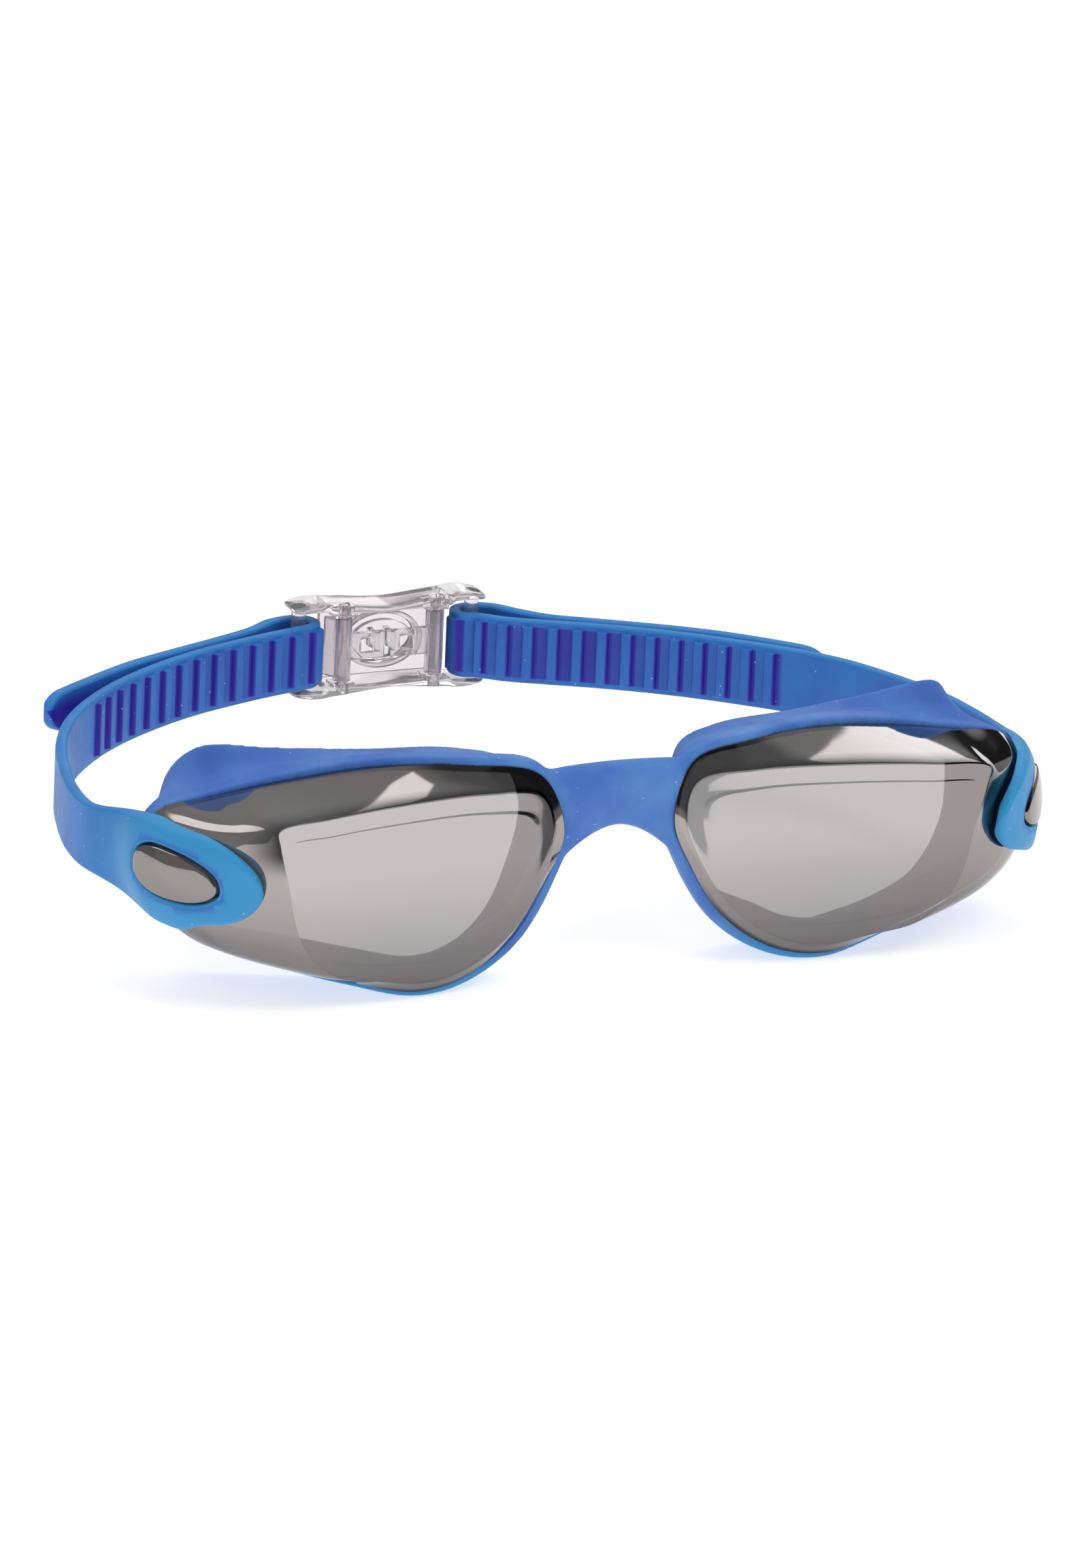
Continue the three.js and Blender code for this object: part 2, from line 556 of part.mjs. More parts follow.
function bridge() {
  const sections = [];
  const steps = 12;
  for (let k = 0; k <= steps; k += 1) {
    const share = -1 + (2 * k) / steps;
    const towardsEnd = Math.abs(share) ** 1.8;
    sections.push(BRIDGE_OUTLINE.map(({ reach, middle, end, y }) => {
      const z = THREE.MathUtils.lerp(middle, end, towardsEnd);
      return new THREE.Vector3(share * reach, y, z);
    }));
  }
  return barLoft(sections);
}

function sealFrame() {
  const right = ringLoft(edgeLoop.map((_, i) => sealSection(i)));
  return joined(right, mirrored(right), bridge());
}

// ---------------------------------------------------------------- quick-adjust buckle
// Local frame: X along the strap, Y away from the head, Z up, origin at the buckle's middle.
function railShape() {
  const shape = new THREE.Shape();
  const end = BUCKLE_HALF_LENGTH;
  shape.moveTo(-end, SLOT_HALF_HEIGHT);
  shape.lineTo(-end, 8.0);
  shape.splineThru([
    new THREE.Vector2(-14.0, 8.55),
    new THREE.Vector2(-8.5, 8.2),
    new THREE.Vector2(0, 7.4),
    new THREE.Vector2(8.5, 8.2),
    new THREE.Vector2(14.0, 8.55),
    new THREE.Vector2(end, 8.0),
  ]);
  shape.lineTo(end, SLOT_HALF_HEIGHT);
  shape.lineTo(WEB_HALF_LENGTH, SLOT_HALF_HEIGHT);
  shape.lineTo(WEB_HALF_LENGTH, RAIL_INNER);
  shape.lineTo(-WEB_HALF_LENGTH, RAIL_INNER);
  shape.lineTo(-WEB_HALF_LENGTH, SLOT_HALF_HEIGHT);
  shape.closePath();
  return shape;
}

function ovalShape(halfLength, halfHeight) {
  const shape = new THREE.Shape();
  shape.absellipse(0, 0, halfLength, halfHeight, 0, 2 * Math.PI);
  return shape;
}

function upsideDown(geometry) {
  return outward(geometry.clone().scale(1, 1, -1));
}

function buckleFrame() {
  const half = BUCKLE_DEPTH / 2;
  const rail = prismAlongY(railShape(), -half, half);
  const seats = [-1, 1].map((side) => (
    box(side * PIVOT_X - 2.1, side * PIVOT_X + 2.1, -half + 0.1, 0.1, RAIL_INNER - 0.4, RAIL_INNER + 0.5)
  ));
  const topRail = joined(rail, ...seats);
  const web = box(-WEB_HALF_LENGTH, WEB_HALF_LENGTH, WEB_INNER_Y, WEB_INNER_Y + WEB_THICKNESS, -6.7, 6.7);
  const posts = [-1, 1].map((side) => uprightCylinder(POST_RADIUS, 7.5, side * POST_OFFSET, 0));
  const whole = joined(topRail, upsideDown(topRail), web, ...posts);
  const window = prismAlongY(ovalShape(BUTTON_HALF_LENGTH + 0.35, BUTTON_HALF_HEIGHT + 0.35), 0, half + 1);
  const bores = [-1, 1].map((side) => uprightCylinder(PIN_RADIUS + GAP, 12, side * PIVOT_X, PIVOT_Y));
  return cut(whole, window, ...bores);
}

function releaseButton() {
  const flangeBack = WEB_INNER_Y - GAP - BUTTON_FLANGE_THICKNESS;
  const face = WEB_INNER_Y + WEB_THICKNESS + BUTTON_PROUD;
  const flangeShape = ovalShape(BUTTON_HALF_LENGTH + BUTTON_FLANGE, BUTTON_HALF_HEIGHT + BUTTON_FLANGE);
  const flange = prismAlongY(flangeShape, flangeBack, flangeBack + BUTTON_FLANGE_THICKNESS);
  const body = prismAlongY(ovalShape(BUTTON_HALF_LENGTH, BUTTON_HALF_HEIGHT), flangeBack, face);
  const hollow = prismAlongY(ovalShape(BUTTON_HALF_LENGTH - 1, BUTTON_HALF_HEIGHT - 1), flangeBack - 1, face - 1.2);
  const feet = [-1, 1].map((side) => box(side * 1.5 - 0.5, side * 1.5 + 0.5, BUTTON_FOOT_Y, face - 0.6, -1.6, 1.6));
  return joined(cut(joined(flange, body), hollow), ...feet);
}

function pawl() {
  const barrel = uprightCylinder(BARREL_RADIUS, BARREL_HALF_HEIGHT, PIVOT_X, PIVOT_Y);
  const tooth = prismAlongZ(
    [[7.6, -1.0], [9.6, -2.2], [10.8, -0.4], [11.0, 0.6], [10.5, 1.0], [9.3, 0.4]],
    PAWL_HALF_HEIGHT,
  );
  const arm = box(0.5, PIVOT_X - 0.6, -1.8, -0.6, -ARM_HALF_HEIGHT, ARM_HALF_HEIGHT);
  const windowHalf = ARM_WINDOW / 2;
  const opening = box(3.6 - windowHalf, 3.6 + windowHalf, -3, 1, -windowHalf, windowHalf);
  const bore = uprightCylinder(PIN_RADIUS + GAP, 12, PIVOT_X, PIVOT_Y);
  return cut(joined(barrel, tooth, arm), opening, bore);
}

function pivotPin() {
  return uprightCylinder(PIN_RADIUS, PIN_HALF_LENGTH, PIVOT_X, PIVOT_Y, 20);
}

// ---------------------------------------------------------------- materials and assembly
const mirrorCoat = new THREE.MeshStandardMaterial({ color: '#8a817c', roughness: 0.08, metalness: 0.9 });
const sealSilicone = new THREE.MeshStandardMaterial({ color: '#4f72c4', roughness: 0.55, metalness: 0 });
const strapSilicone = new THREE.MeshStandardMaterial({ color: '#2f78bf', roughness: 0.5, metalness: 0 });
const clearPlastic = new THREE.MeshStandardMaterial({
  color: '#e8dfe2', roughness: 0.08, metalness: 0, transparent: true, opacity: 0.45,
});

const goggles = new THREE.Group();

function piece(name, geometry, material, parent = goggles) {
  const mesh = new THREE.Mesh(geometry, material.clone());
  mesh.name = name;
  parent.add(mesh);
}

const lensGeometry = lensWithKey();
piece('lens_left', mirrored(lensGeometry), mirrorCoat);
piece('lens_right', lensGeometry, mirrorCoat);
piece('seal_frame', sealFrame(), sealSilicone);
piece('strap_left', strap(BAND_LEFT, TAIL_LEFT, -1), strapSilicone);
piece('strap_right', strap(BAND_RIGHT, TAIL_RIGHT, 1), strapSilicone);

const buckle = new THREE.Group();
buckle.position.set(BUCKLE_X, BUCKLE_Y, BUCKLE_Z);
goggles.add(buckle);
piece('buckle_frame', buckleFrame(), clearPlastic, buckle);
piece('release_button', releaseButton(), clearPlastic, buckle);
piece('pawl_left', mirrored(pawl()), clearPlastic, buckle);
piece('pawl_right', pawl(), clearPlastic, buckle);
piece('pivot_pin_left', mirrored(pivotPin()), clearPlastic, buckle);
piece('pivot_pin_right', pivotPin(), clearPlastic, buckle);

goggles.updateMatrixWorld(true);
const extent = new THREE.Box3().setFromObject(goggles);
const middle = extent.getCenter(new THREE.Vector3());
goggles.position.set(-middle.x, -middle.y, -extent.min.z);

export default goggles;
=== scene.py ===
import math

import bmesh
import bpy
import numpy as np
from mathutils import Matrix, Vector


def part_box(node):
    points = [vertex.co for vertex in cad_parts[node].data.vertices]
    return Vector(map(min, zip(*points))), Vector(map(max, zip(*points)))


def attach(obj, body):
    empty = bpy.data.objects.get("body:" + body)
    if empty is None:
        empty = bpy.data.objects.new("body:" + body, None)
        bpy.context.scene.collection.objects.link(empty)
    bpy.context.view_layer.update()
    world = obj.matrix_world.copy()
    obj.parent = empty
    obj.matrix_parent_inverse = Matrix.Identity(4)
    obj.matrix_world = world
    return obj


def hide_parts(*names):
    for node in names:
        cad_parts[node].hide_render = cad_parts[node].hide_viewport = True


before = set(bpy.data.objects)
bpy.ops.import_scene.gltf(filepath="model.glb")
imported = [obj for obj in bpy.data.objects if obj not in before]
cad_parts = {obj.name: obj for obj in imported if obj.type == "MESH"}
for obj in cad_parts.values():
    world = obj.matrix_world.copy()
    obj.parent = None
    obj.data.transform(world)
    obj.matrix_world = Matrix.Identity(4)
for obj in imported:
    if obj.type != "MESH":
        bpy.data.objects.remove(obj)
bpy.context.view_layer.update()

# Swim goggles. Design lengths are in millimetres about the nose line (x = 0, y = 0) on the floor (z = 0);
# new_object() turns them into metres in the row frame.
MM = 0.001

# ---------------------------------------------------------------- design numbers
GAP = 0.3
LENS_WALL = 1.6
LENS_TOP = 38.0
LENS_FLANGE_DEPTH = 2.2
LENS_FLANGE_INSET = 0.8
LENS_FLANGE_WALL = 1.2
PANEL_STEP = 0.08
CREASE_ROUND = 0.35
SEAL_BAND_DEPTH = 3.4
SEAL_SKIRT_WALL = 1.1
SEAL_SHELF = 2.0
SEAL_VOXEL = 0.38
SHELF_EXTRA = 3.0  # the eye opening's lower edge reaches further in
SKIRT_EXTRA = 0.4  # makes up for what the remesh rounds off
BRIDGE_FRONT = -2.0
BRIDGE_BACK = 2.6
JOINT_X = 10.5  # where the bridge meets a cup
JOINT_REACH = 4.5

STRAP_THICKNESS = 2.0
STRAP_WIDTH = 11.4
STRAP_MIDDLE = 21.9
PAD_HEIGHT = 14.4
PAD_MIDDLE = 23.8
PAD_TIP_SHARE = 0.87
PAD_SHARES = [PAD_TIP_SHARE, 0.7, 0.52, 0.34, 0.17, 0.02]
PAD_CLEARANCE = 0.6
TURN_RADIUS = 2.8
NECK_LENGTH = 19.0
TAIL_ROUND = 4.5
TAIL_TAPER = 0.4
TAPER_LENGTH = 18.0
TAIL_LIFT = 0.3
PAD_DROP = 2.6
RIB_PITCH = 4.3
RIB_WIDTH = 2.3
RIB_HEIGHT = 0.75
RIBS_FROM_BUCKLE = {-1: 55.0, 1: 53.5}
BUCKLE_RISE = {-1: 0.4, 1: -0.1}
KEY_LENGTH = 18.4
KEY_HEIGHT = 7.8
KEY_MIDDLE = 23.5
KEY_TAPER = 0.16
KEY_BLUNT = 0.82
KEY_PROUD = 0.35

BUCKLE = np.array([0.7, 109.4, 23.0])
BUCKLE_DEPTH = 7.5
BUCKLE_HALF_LENGTH = 17.5
SLOT_HALF_HEIGHT = 7.1
RAIL_INNER = 6.4
RAIL_END_ROUND = 1.3
RAIL_CORNER = 0.9  # how much narrower the rail is at its very ends
RAIL_POWERS = (0.42, 0.62)  # squareness of its section along Y and Z
SEAT_HALF_LENGTH = 2.1
POST_OFFSET = 15.9
POST_RADIUS = 1.3
POST_HALF_HEIGHT = 7.5
WEB_HALF_LENGTH = 11.2
WEB_HALF_HEIGHT = 6.7
WEB_INNER_Y = 2.15
WEB_THICKNESS = 1.5
PIVOT_X = 8.4
PIVOT_Y = -2.0
PIN_RADIUS = 0.8
PIN_HALF_LENGTH = 7.6
BORE_HALF_LENGTH = 12.0  # longer than the buckle is high, to cut through it
BARREL_RADIUS = 1.55
BARREL_HALF_HEIGHT = 5.7
PAWL_HALF_HEIGHT = 5.2
ARM_HALF_HEIGHT = 2.4
ARM_START = 0.5
ARM_WINDOW = 2.6
ARM_WINDOW_X = 3.6
BUTTON_HALF_LENGTH = 6.4
BUTTON_HALF_HEIGHT = 4.4
BUTTON_FLANGE = 0.85
BUTTON_FLANGE_THICKNESS = 0.8
BUTTON_PROUD = 0.8
BUTTON_FOOT_Y = -0.3
BUTTON_FOOT_X = 1.5
BUTTON_FOOT_HALF = (0.5, 1.6)  # half width and half height

low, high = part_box("buckle_frame")
ORIGIN = np.array((low + high) / 2) / MM - BUCKLE  # place of the design origin in the row frame, mm

# Stations round the right lens: edge in the seal (x, y, z), crease (x, z), panel outline (x, z),
# bow of the side wall, how far the seal stands outside the lens, and the skirt's edge (x, y, z).
STATIONS = [
    ((13.7, 0.0, 36.4), (13.9, 33.2), (15.4, 30.1), 0.0, 1.4, (15.5, 12.0, 35.4)),
    ((25.0, 2.6, 38.2), (24.0, 35.0), (24.5, 31.9), 0.0, 1.2, (24.0, 15.5, 37.2)),
    ((40.0, 7.4, 37.9), (41.0, 35.4), (41.0, 32.3), 0.0, 1.2, (38.0, 18.5, 37.2)),
    ((54.0, 11.6, 35.5), (54.0, 35.0), (53.5, 32.0), 0.0, 1.0, (53.0, 20.8, 37.9)),
    ((67.5, 14.4, 32.6), (63.6, 34.2), (62.2, 31.4), 0.0, 0.6, (66.5, 22.0, 38.6)),
    ((76.3, 14.9, 30.6), (63.3, 31.5), (62.0, 29.0), 2.6, 0.0, (70.2, 26.6, 33.0)),
    ((79.0, 14.2, 23.5), (61.2, 23.0), (60.4, 22.5), 4.0, 0.0, (71.2, 26.5, 24.0)),
    ((77.4, 10.6, 16.0), (59.8, 16.6), (59.0, 17.2), 4.0, 0.0, (69.5, 23.0, 14.0)),
    ((72.0, 5.4, 10.8), (57.0, 11.0), (56.2, 12.9), 2.6, 0.2, (62.0, 17.0, 6.5)),
    ((60.0, 0.4, 6.9), (51.5, 6.9), (51.5, 9.4), 1.0, 0.3, (53.0, 12.5, 4.0)),
    ((48.0, -3.0, 4.1), (44.0, 5.3), (44.0, 8.0), 0.3, 0.7, (44.0, 9.5, 2.9)),
    ((36.5, -5.0, 2.1), (36.0, 4.1), (36.2, 7.5), 0.0, 1.1, (35.5, 8.0, 2.2)),
    ((27.4, -4.2, 3.7), (28.5, 5.6), (29.6, 8.4), 0.0, 1.4, (27.0, 7.8, 3.6)),
    ((18.8, -3.2, 9.6), (20.6, 10.6), (22.8, 13.5), 0.0, 1.8, (20.0, 8.0, 9.0)),
    ((12.9, -2.4, 18.8), (14.8, 18.6), (17.8, 20.0), 0.0, 1.8, (15.5, 8.5, 18.0)),
    ((9.9, -1.8, 27.0), (11.9, 27.0), (14.7, 26.5), 0.0, 1.5, (13.2, 9.5, 29.0)),
]
PANEL_CENTRE = (38.0, 20.5)

BAND_LEFT = [
    (-80.3, 22.0), (-82.3, 30.0), (-82.0, 39.0), (-79.5, 50.4), (-76.1, 61.0), (-70.5, 72.1),
    (-63.7, 80.9), (-56.0, 88.2), (-46.6, 94.6), (-37.8, 99.1), (-29.8, 102.1), (-22.2, 104.6),
]
TAIL_LEFT = [
    (-19.6, 111.2), (-24.5, 107.8), (-31.7, 104.4), (-41.2, 100.4), (-50.9, 96.0), (-61.4, 89.4),
    (-66.9, 85.6), (-71.0, 82.3),
]
BAND_RIGHT = [
    (80.3, 22.0), (80.6, 30.0), (79.8, 37.5), (78.0, 46.3), (74.0, 56.6), (68.7, 66.7),
    (62.9, 73.8), (55.9, 80.3), (48.8, 86.2), (41.4, 91.5), (33.7, 96.2), (26.4, 100.1), (20.7, 103.3),
]
TAIL_RIGHT = [
    (20.6, 111.0), (24.4, 106.6), (28.3, 102.6), (34.9, 98.6), (41.7, 94.5), (48.2, 90.4),
    (54.4, 85.8), (60.0, 80.7), (64.6, 76.0), (67.4, 72.5),
]

# Front top of the bridge, down the front and up the back: half length, heights at nose and seal, depth.
BRIDGE_OUTLINE = [
    (12.6, 37.4, 37.0, 1.4),
    (11.6, 36.9, 35.0, BRIDGE_FRONT + 1.1),
    (9.6, 34.2, 31.0, BRIDGE_FRONT),
    (8.9, 30.2, 26.5, BRIDGE_FRONT),
    (10.3, 27.2, 21.5, BRIDGE_FRONT + 0.6),
    (11.4, 26.6, 19.6, 0.2),
    (10.3, 27.4, 21.5, 1.6),
    (8.9, 30.2, 26.5, BRIDGE_BACK),
    (9.6, 34.2, 31.0, BRIDGE_BACK),
    (11.6, 36.6, 35.0, BRIDGE_BACK),
]

MIRROR = np.array([-1.0, 1.0, 1.0])
LOOP_STEPS = 14  # points made for each station round a lens
ROUTE_STEPS = 64  # points made for each span of a strap's plan


# ---------------------------------------------------------------- curves
def unit(v):
    v = np.asarray(v, float)
    return v / np.maximum(np.linalg.norm(v, axis=-1, keepdims=True), 1e-12)


def spline(points, closed, steps):
    """Points on the centripetal Catmull-Rom curve through points, steps of them for each span."""
    p = np.asarray(points, float)
    if closed:
        p0, p1, p2, p3 = (np.roll(p, shift, axis=0) for shift in (1, 0, -1, -2))
    else:
        p = np.vstack([2 * p[0] - p[1], p, 2 * p[-1] - p[-2]])
        p0, p1, p2, p3 = p[:-3], p[1:-2], p[2:-1], p[3:]
    d0, d1, d2 = (
        np.maximum(np.linalg.norm(b - a, axis=1) ** 0.5, 1e-4)[:, None]
        for a, b in ((p0, p1), (p1, p2), (p2, p3))
    )
    t1 = ((p1 - p0) / d0 - (p2 - p0) / (d0 + d1) + (p2 - p1) / d1) * d1
    t2 = ((p2 - p1) / d1 - (p3 - p1) / (d1 + d2) + (p3 - p2) / d2) * d1
    t = (np.arange(steps) / steps)[None, :, None]
    c2 = (-3 * p1 + 3 * p2 - 2 * t1 - t2)[:, None]
    c3 = (2 * p1 - 2 * p2 + t1 + t2)[:, None]
    line = (p1[:, None] + t1[:, None] * t + c2 * t**2 + c3 * t**3).reshape(-1, p.shape[1])
    return line if closed else np.vstack([line, p2[-1]])


def smoothstep(value, start, end):
    t = np.clip((value - start) / (end - start), 0, 1)
    return t * t * (3 - 2 * t)


def front_y(x, z):
    return -1.0 - 0.165 * (x - 13) - 0.2 * np.exp(-(x - 13) / 18) * (35 - z)


def on_front(xz):
    xz = np.asarray(xz, float)
    return np.column_stack([xz[:, 0], front_y(xz[:, 0], xz[:, 1]), xz[:, 1]])


edge_loop = spline([s[0] for s in STATIONS], True, LOOP_STEPS)
crease_loop = spline(on_front([s[1] for s in STATIONS]), True, LOOP_STEPS)
panel_loop = spline(on_front([s[2] for s in STATIONS]), True, LOOP_STEPS)
bow_lip_loop = np.maximum(spline([(s[3], s[4], 0) for s in STATIONS], True, LOOP_STEPS), 0)
skirt_loop = spline([s[5] for s in STATIONS], True, LOOP_STEPS)


def around(loop):
    return unit(np.roll(loop, -1, axis=0) - np.roll(loop, 1, axis=0))


edge_along = around(edge_loop)
edge_normals = unit(np.column_stack([-edge_along[:, 2], np.zeros(len(edge_loop)), edge_along[:, 0]]))


def wall(share):
    """The lens's side wall all round: share 0 is its edge in the seal and share 1 the crease."""
    chord = crease_loop - edge_loop
    side = unit(np.column_stack([-chord[:, 1], chord[:, 0], np.zeros(len(chord))]))
    return edge_loop + chord * share + side * (bow_lip_loop[:, :1] * 4 * share * (1 - share))


def wall_at_height(share, z):
    """x and y of the temple wall at those heights."""
    temple = wall(share)[3 * LOOP_STEPS + LOOP_STEPS // 3 : 9 * LOOP_STEPS + 1][::-1]
    return np.stack([np.interp(z, temple[:, 2], temple[:, k]) for k in (0, 1)], axis=-1)


# ---------------------------------------------------------------- mesh helpers
def skin(rings, first=None, last=None, wrap=False):
    """Vertices and faces of the skin between rings, closed by a pole at each end or wrapped round."""
    rings = np.asarray(rings, float)
    count, size = rings.shape[:2]
    vertices = list(rings.reshape(-1, 3))
    i = np.arange(size)
    j = (i + 1) % size
    faces = []
    for ring in range(count if wrap else count - 1):
        here, there = ring * size, ((ring + 1) % count) * size
        faces += np.column_stack([here + i, here + j, there + j, there + i]).tolist()
    for pole, start in ((first, 0), (last, (count - 1) * size)):
        if pole is not None:
            vertices.append(np.asarray(pole, float))
            tip = len(vertices) - 1
            faces += [[tip, start + a, start + b] for a, b in zip(i.tolist(), j.tolist())]
    return np.array(vertices), faces


def bar(rings):
    rings = np.asarray(rings, float)
    return skin(rings, rings[0].mean(axis=0), rings[-1].mean(axis=0))


def new_object(name, shape, origin=None, sharp=35):
    """A smooth mesh object in metres in the row frame from millimetres in the design frame."""
    vertices, faces = shape
    origin = ORIGIN if origin is None else ORIGIN + origin
    mesh = bpy.data.meshes.new(name)
    mesh.from_pydata(((vertices + origin) * MM).tolist(), [], faces)
    build = bmesh.new()
    build.from_mesh(mesh)
    bmesh.ops.recalc_face_normals(build, faces=build.faces)
    build.to_mesh(mesh)
    build.free()
    obj = bpy.data.objects.new(name, mesh)
    bpy.context.scene.collection.objects.link(obj)
    smooth(obj, sharp)
    return obj


def smooth(obj, sharp):
    obj.data.shade_smooth()
    obj.data.set_sharp_from_angle(angle=math.radians(sharp))


def settle(obj):
    """Makes the object's modifiers part of its mesh."""
    graph = bpy.context.evaluated_depsgraph_get()
    evaluated = obj.evaluated_get(graph)
    mesh = bpy.data.meshes.new_from_object(evaluated, preserve_all_data_layers=True, depsgraph=graph)
    obj.modifiers.clear()
    obj.data = mesh
    return obj


def boolean(obj, tool, operation):
    modifier = obj.modifiers.new("boolean", "BOOLEAN")
    modifier.operation = operation
    modifier.solver = "EXACT"
    modifier.object = tool
    settle(obj)
    bpy.data.objects.remove(tool)
    return obj


def join(obj, tool):
    return boolean(obj, tool, "UNION")


def cut(obj, tool):
    return boolean(obj, tool, "DIFFERENCE")


def mirrored(shape, side):
    return (shape[0] * MIRROR, shape[1]) if side < 0 else shape


def design_points(obj):
    """The mesh's points in millimetres in the design frame."""
    return np.array([v.co for v in obj.data.vertices]) / MM - ORIGIN


def bevelled(obj, width, segments):
    modifier = obj.modifiers.new("bevel", "BEVEL")
    modifier.width = width * MM
    modifier.segments = segments
    modifier.limit_method = "ANGLE"
    modifier.angle_limit = math.radians(35)
    return settle(obj)


def set_attribute(obj, name, values):
    attribute = obj.data.attributes.new(name, "FLOAT", "POINT")
    attribute.data.foreach_set("value", np.asarray(values, np.float32))


def finish_piece(obj, name, body, material, sharp, replaced):
    obj.name = name
    obj.data.name = name
    smooth(obj, sharp)
    obj.data.materials.clear()
    obj.data.materials.append(material)
    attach(obj, body)
    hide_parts(replaced)


# ---------------------------------------------------------------- materials
def feed(tree, socket, value):
    """Links an output to the socket, or sets the socket's own value."""
    if isinstance(value, bpy.types.NodeSocket):
        tree.links.new(value, socket)
    elif socket.type == "RGBA" and len(value) == 3:
        socket.default_value = (*value, 1)
    else:
        socket.default_value = value


class Nodes:
    """The node tree of a material or world, with short calls for the nodes that repeat."""

    def __init__(self, owner):
        owner.use_nodes = True
        self.owner = owner
        self.tree = owner.node_tree

    def node(self, kind, **inputs):
        made = self.tree.nodes.new(kind)
        for key, value in inputs.items():
            feed(self.tree, made.inputs[key.replace("_", " ")], value)
        return made

    def place(self):
        return self.node("ShaderNodeTexCoord").outputs["Object"]

    def noise(self, scale, detail=3.0, roughness=0.5):
        made = self.node(
            "ShaderNodeTexNoise", Vector=self.place(), Scale=scale, Detail=detail, Roughness=roughness
        )
        return made.outputs["Fac"]

    def ramp(self, value, stops):
        made = self.node("ShaderNodeValToRGB", Fac=value)
        elements = made.color_ramp.elements
        for element, (position, level) in zip(elements, stops):
            element.position = position
            element.color = (level, level, level, 1)
        return made.outputs["Color"]

    def mix(self, factor, first, second, kind="MIX"):
        made = self.tree.nodes.new("ShaderNodeMix")
        made.data_type = "RGBA"
        made.blend_type = kind
        for index, value in ((0, factor), (6, first), (7, second)):
            feed(self.tree, made.inputs[index], value)
        return made.outputs[2]

    def maths(self, operation, *values):
        made = self.tree.nodes.new("ShaderNodeMath")
        made.operation = operation
        for socket, value in zip(made.inputs, values):
            feed(self.tree, socket, value)
        return made.outputs[0]

    def attribute(self, name):
        made = self.node("ShaderNodeAttribute")
        made.attribute_name = name
        return made.outputs["Fac"]

    def span(self, value, low, high):
        made = self.node("ShaderNodeMapRange", Value=value, To_Min=low, To_Max=high)
        return made.outputs["Result"]

    def bump(self, height, strength, distance):
        made = self.node("ShaderNodeBump", Height=height, Strength=strength, Distance=distance)
        self.set(Normal=made.outputs["Normal"])

    def set(self, **inputs):
        """Feeds the material's shader."""
        shader = self.tree.nodes["Principled BSDF"]
        for key, value in inputs.items():
            feed(self.tree, shader.inputs[key.replace("_", " ")], value)
        return self.owner


def paint(name):
    return Nodes(bpy.data.materials.new(name))


def rgb(code):
    """Linear colour of a display hex code."""
    parts = [int(code[k : k + 2], 16) / 255 for k in (0, 2, 4)]
    return tuple(c / 12.92 if c <= 0.04045 else ((c + 0.055) / 1.055) ** 2.4 for c in parts)


def silicone(name, light, deep, shade, tint, inside=None):
    """Matt silicone: cloudy colour, other colours where the mesh says so (an azure tint that also paints a
    highlight on the strap's top rim, painted shade, and painted deep shade inside the seal's cups), and fine
    pale specks.
    """
    n = paint(name)
    clouds = n.ramp(n.noise(90, 4, 0.55), [(0.35, 0), (0.68, 1)])
    colour = n.mix(clouds, deep, light)
    # azure tint on the strap pads and the seal's foot, and a painted highlight along the strap's top rim
    colour = n.mix(n.attribute("azure_and_rim_highlight"), colour, tint)
    # painted shade: rib flanks, the grooves between ribs, the tail's face towards the band and the back of
    # the seal's skirt
    colour = n.mix(n.attribute("shade"), colour, shade)
    # painted shade: the seal's inner cup faces, darkened to deep navy
    if inside is not None:
        colour = n.mix(n.attribute("inside"), colour, inside)
    cells = n.node("ShaderNodeTexVoronoi", Vector=n.place(), Scale=620.0)
    draw = n.node("ShaderNodeSeparateColor", Color=cells.outputs["Color"]).outputs[0]
    chosen = n.maths("GREATER_THAN", draw, 0.72)
    dot = n.ramp(cells.outputs["Distance"], [(0.05, 1), (0.11, 0)])
    speck = n.maths("MULTIPLY", n.maths("MULTIPLY", chosen, dot), 0.42)
    colour = n.mix(speck, colour, rgb("DCE8F4"))
    n.bump(n.noise(1500, 3, 0.6), 0.16, 0.00012)
    return n.set(
        Base_Color=colour,
        Roughness=n.span(n.noise(400, 3), 0.42, 0.62),
        Subsurface_Weight=0.08,
        Subsurface_Radius=(0.4, 0.6, 1.0),
        Subsurface_Scale=0.0015,
        Sheen_Weight=0.04,
        Sheen_Roughness=0.4,
        Specular_IOR_Level=0.42,
    )


def mirror_coat(name, alpha):
    """Smoke mirror coating: a brown-grey metal film that lets a little light through."""
    n = paint(name)
    tone = n.mix(n.noise(45, 2), rgb("9A9390"), rgb("A29A97"))
    # painted darker reflection: the coating darkens towards the bottom of the lens, in place of a darker
    # floor mirrored there
    height = n.node("ShaderNodeSeparateXYZ", Vector=n.place()).outputs[2]
    foot = n.ramp(n.maths("DIVIDE", height, LENS_TOP * MM), [(0.08, 0.55), (0.6, 1)])
    # painted shade: near-black where the edge attribute says, along the brow's crease and the lower rim
    tone = n.mix(n.attribute("edge"), n.mix(1.0, tone, foot, "MULTIPLY"), rgb("0A0808"))
    n.bump(n.noise(60, 2), 0.05, 0.0002)
    return n.set(
        Base_Color=tone,
        Metallic=1.0,
        Roughness=n.span(n.noise(220, 3), 0.025, 0.06),
        Alpha=alpha,
    )


def lens_inside():
    """The uncoated inner face of the lens: faint smoke polycarbonate."""
    n = paint("lens_inside")
    return n.set(
        Base_Color=n.mix(n.noise(80, 2), rgb("4A4644"), rgb("57524F")),
        Roughness=n.span(n.noise(300, 2), 0.04, 0.09),
        Alpha=0.1,
    )


def clear_plastic():
    """Clear polycarbonate with a faint pink cast."""
    n = paint("clear_polycarbonate")
    n.bump(n.noise(110, 2), 0.08, 0.0003)
    return n.set(
        Base_Color=n.mix(n.noise(60, 2), (0.87, 0.81, 0.835), (0.83, 0.785, 0.815)),
        Roughness=n.span(n.noise(400, 2), 0.04, 0.08),
        Transmission_Weight=0.88,
        IOR=1.46,
    )


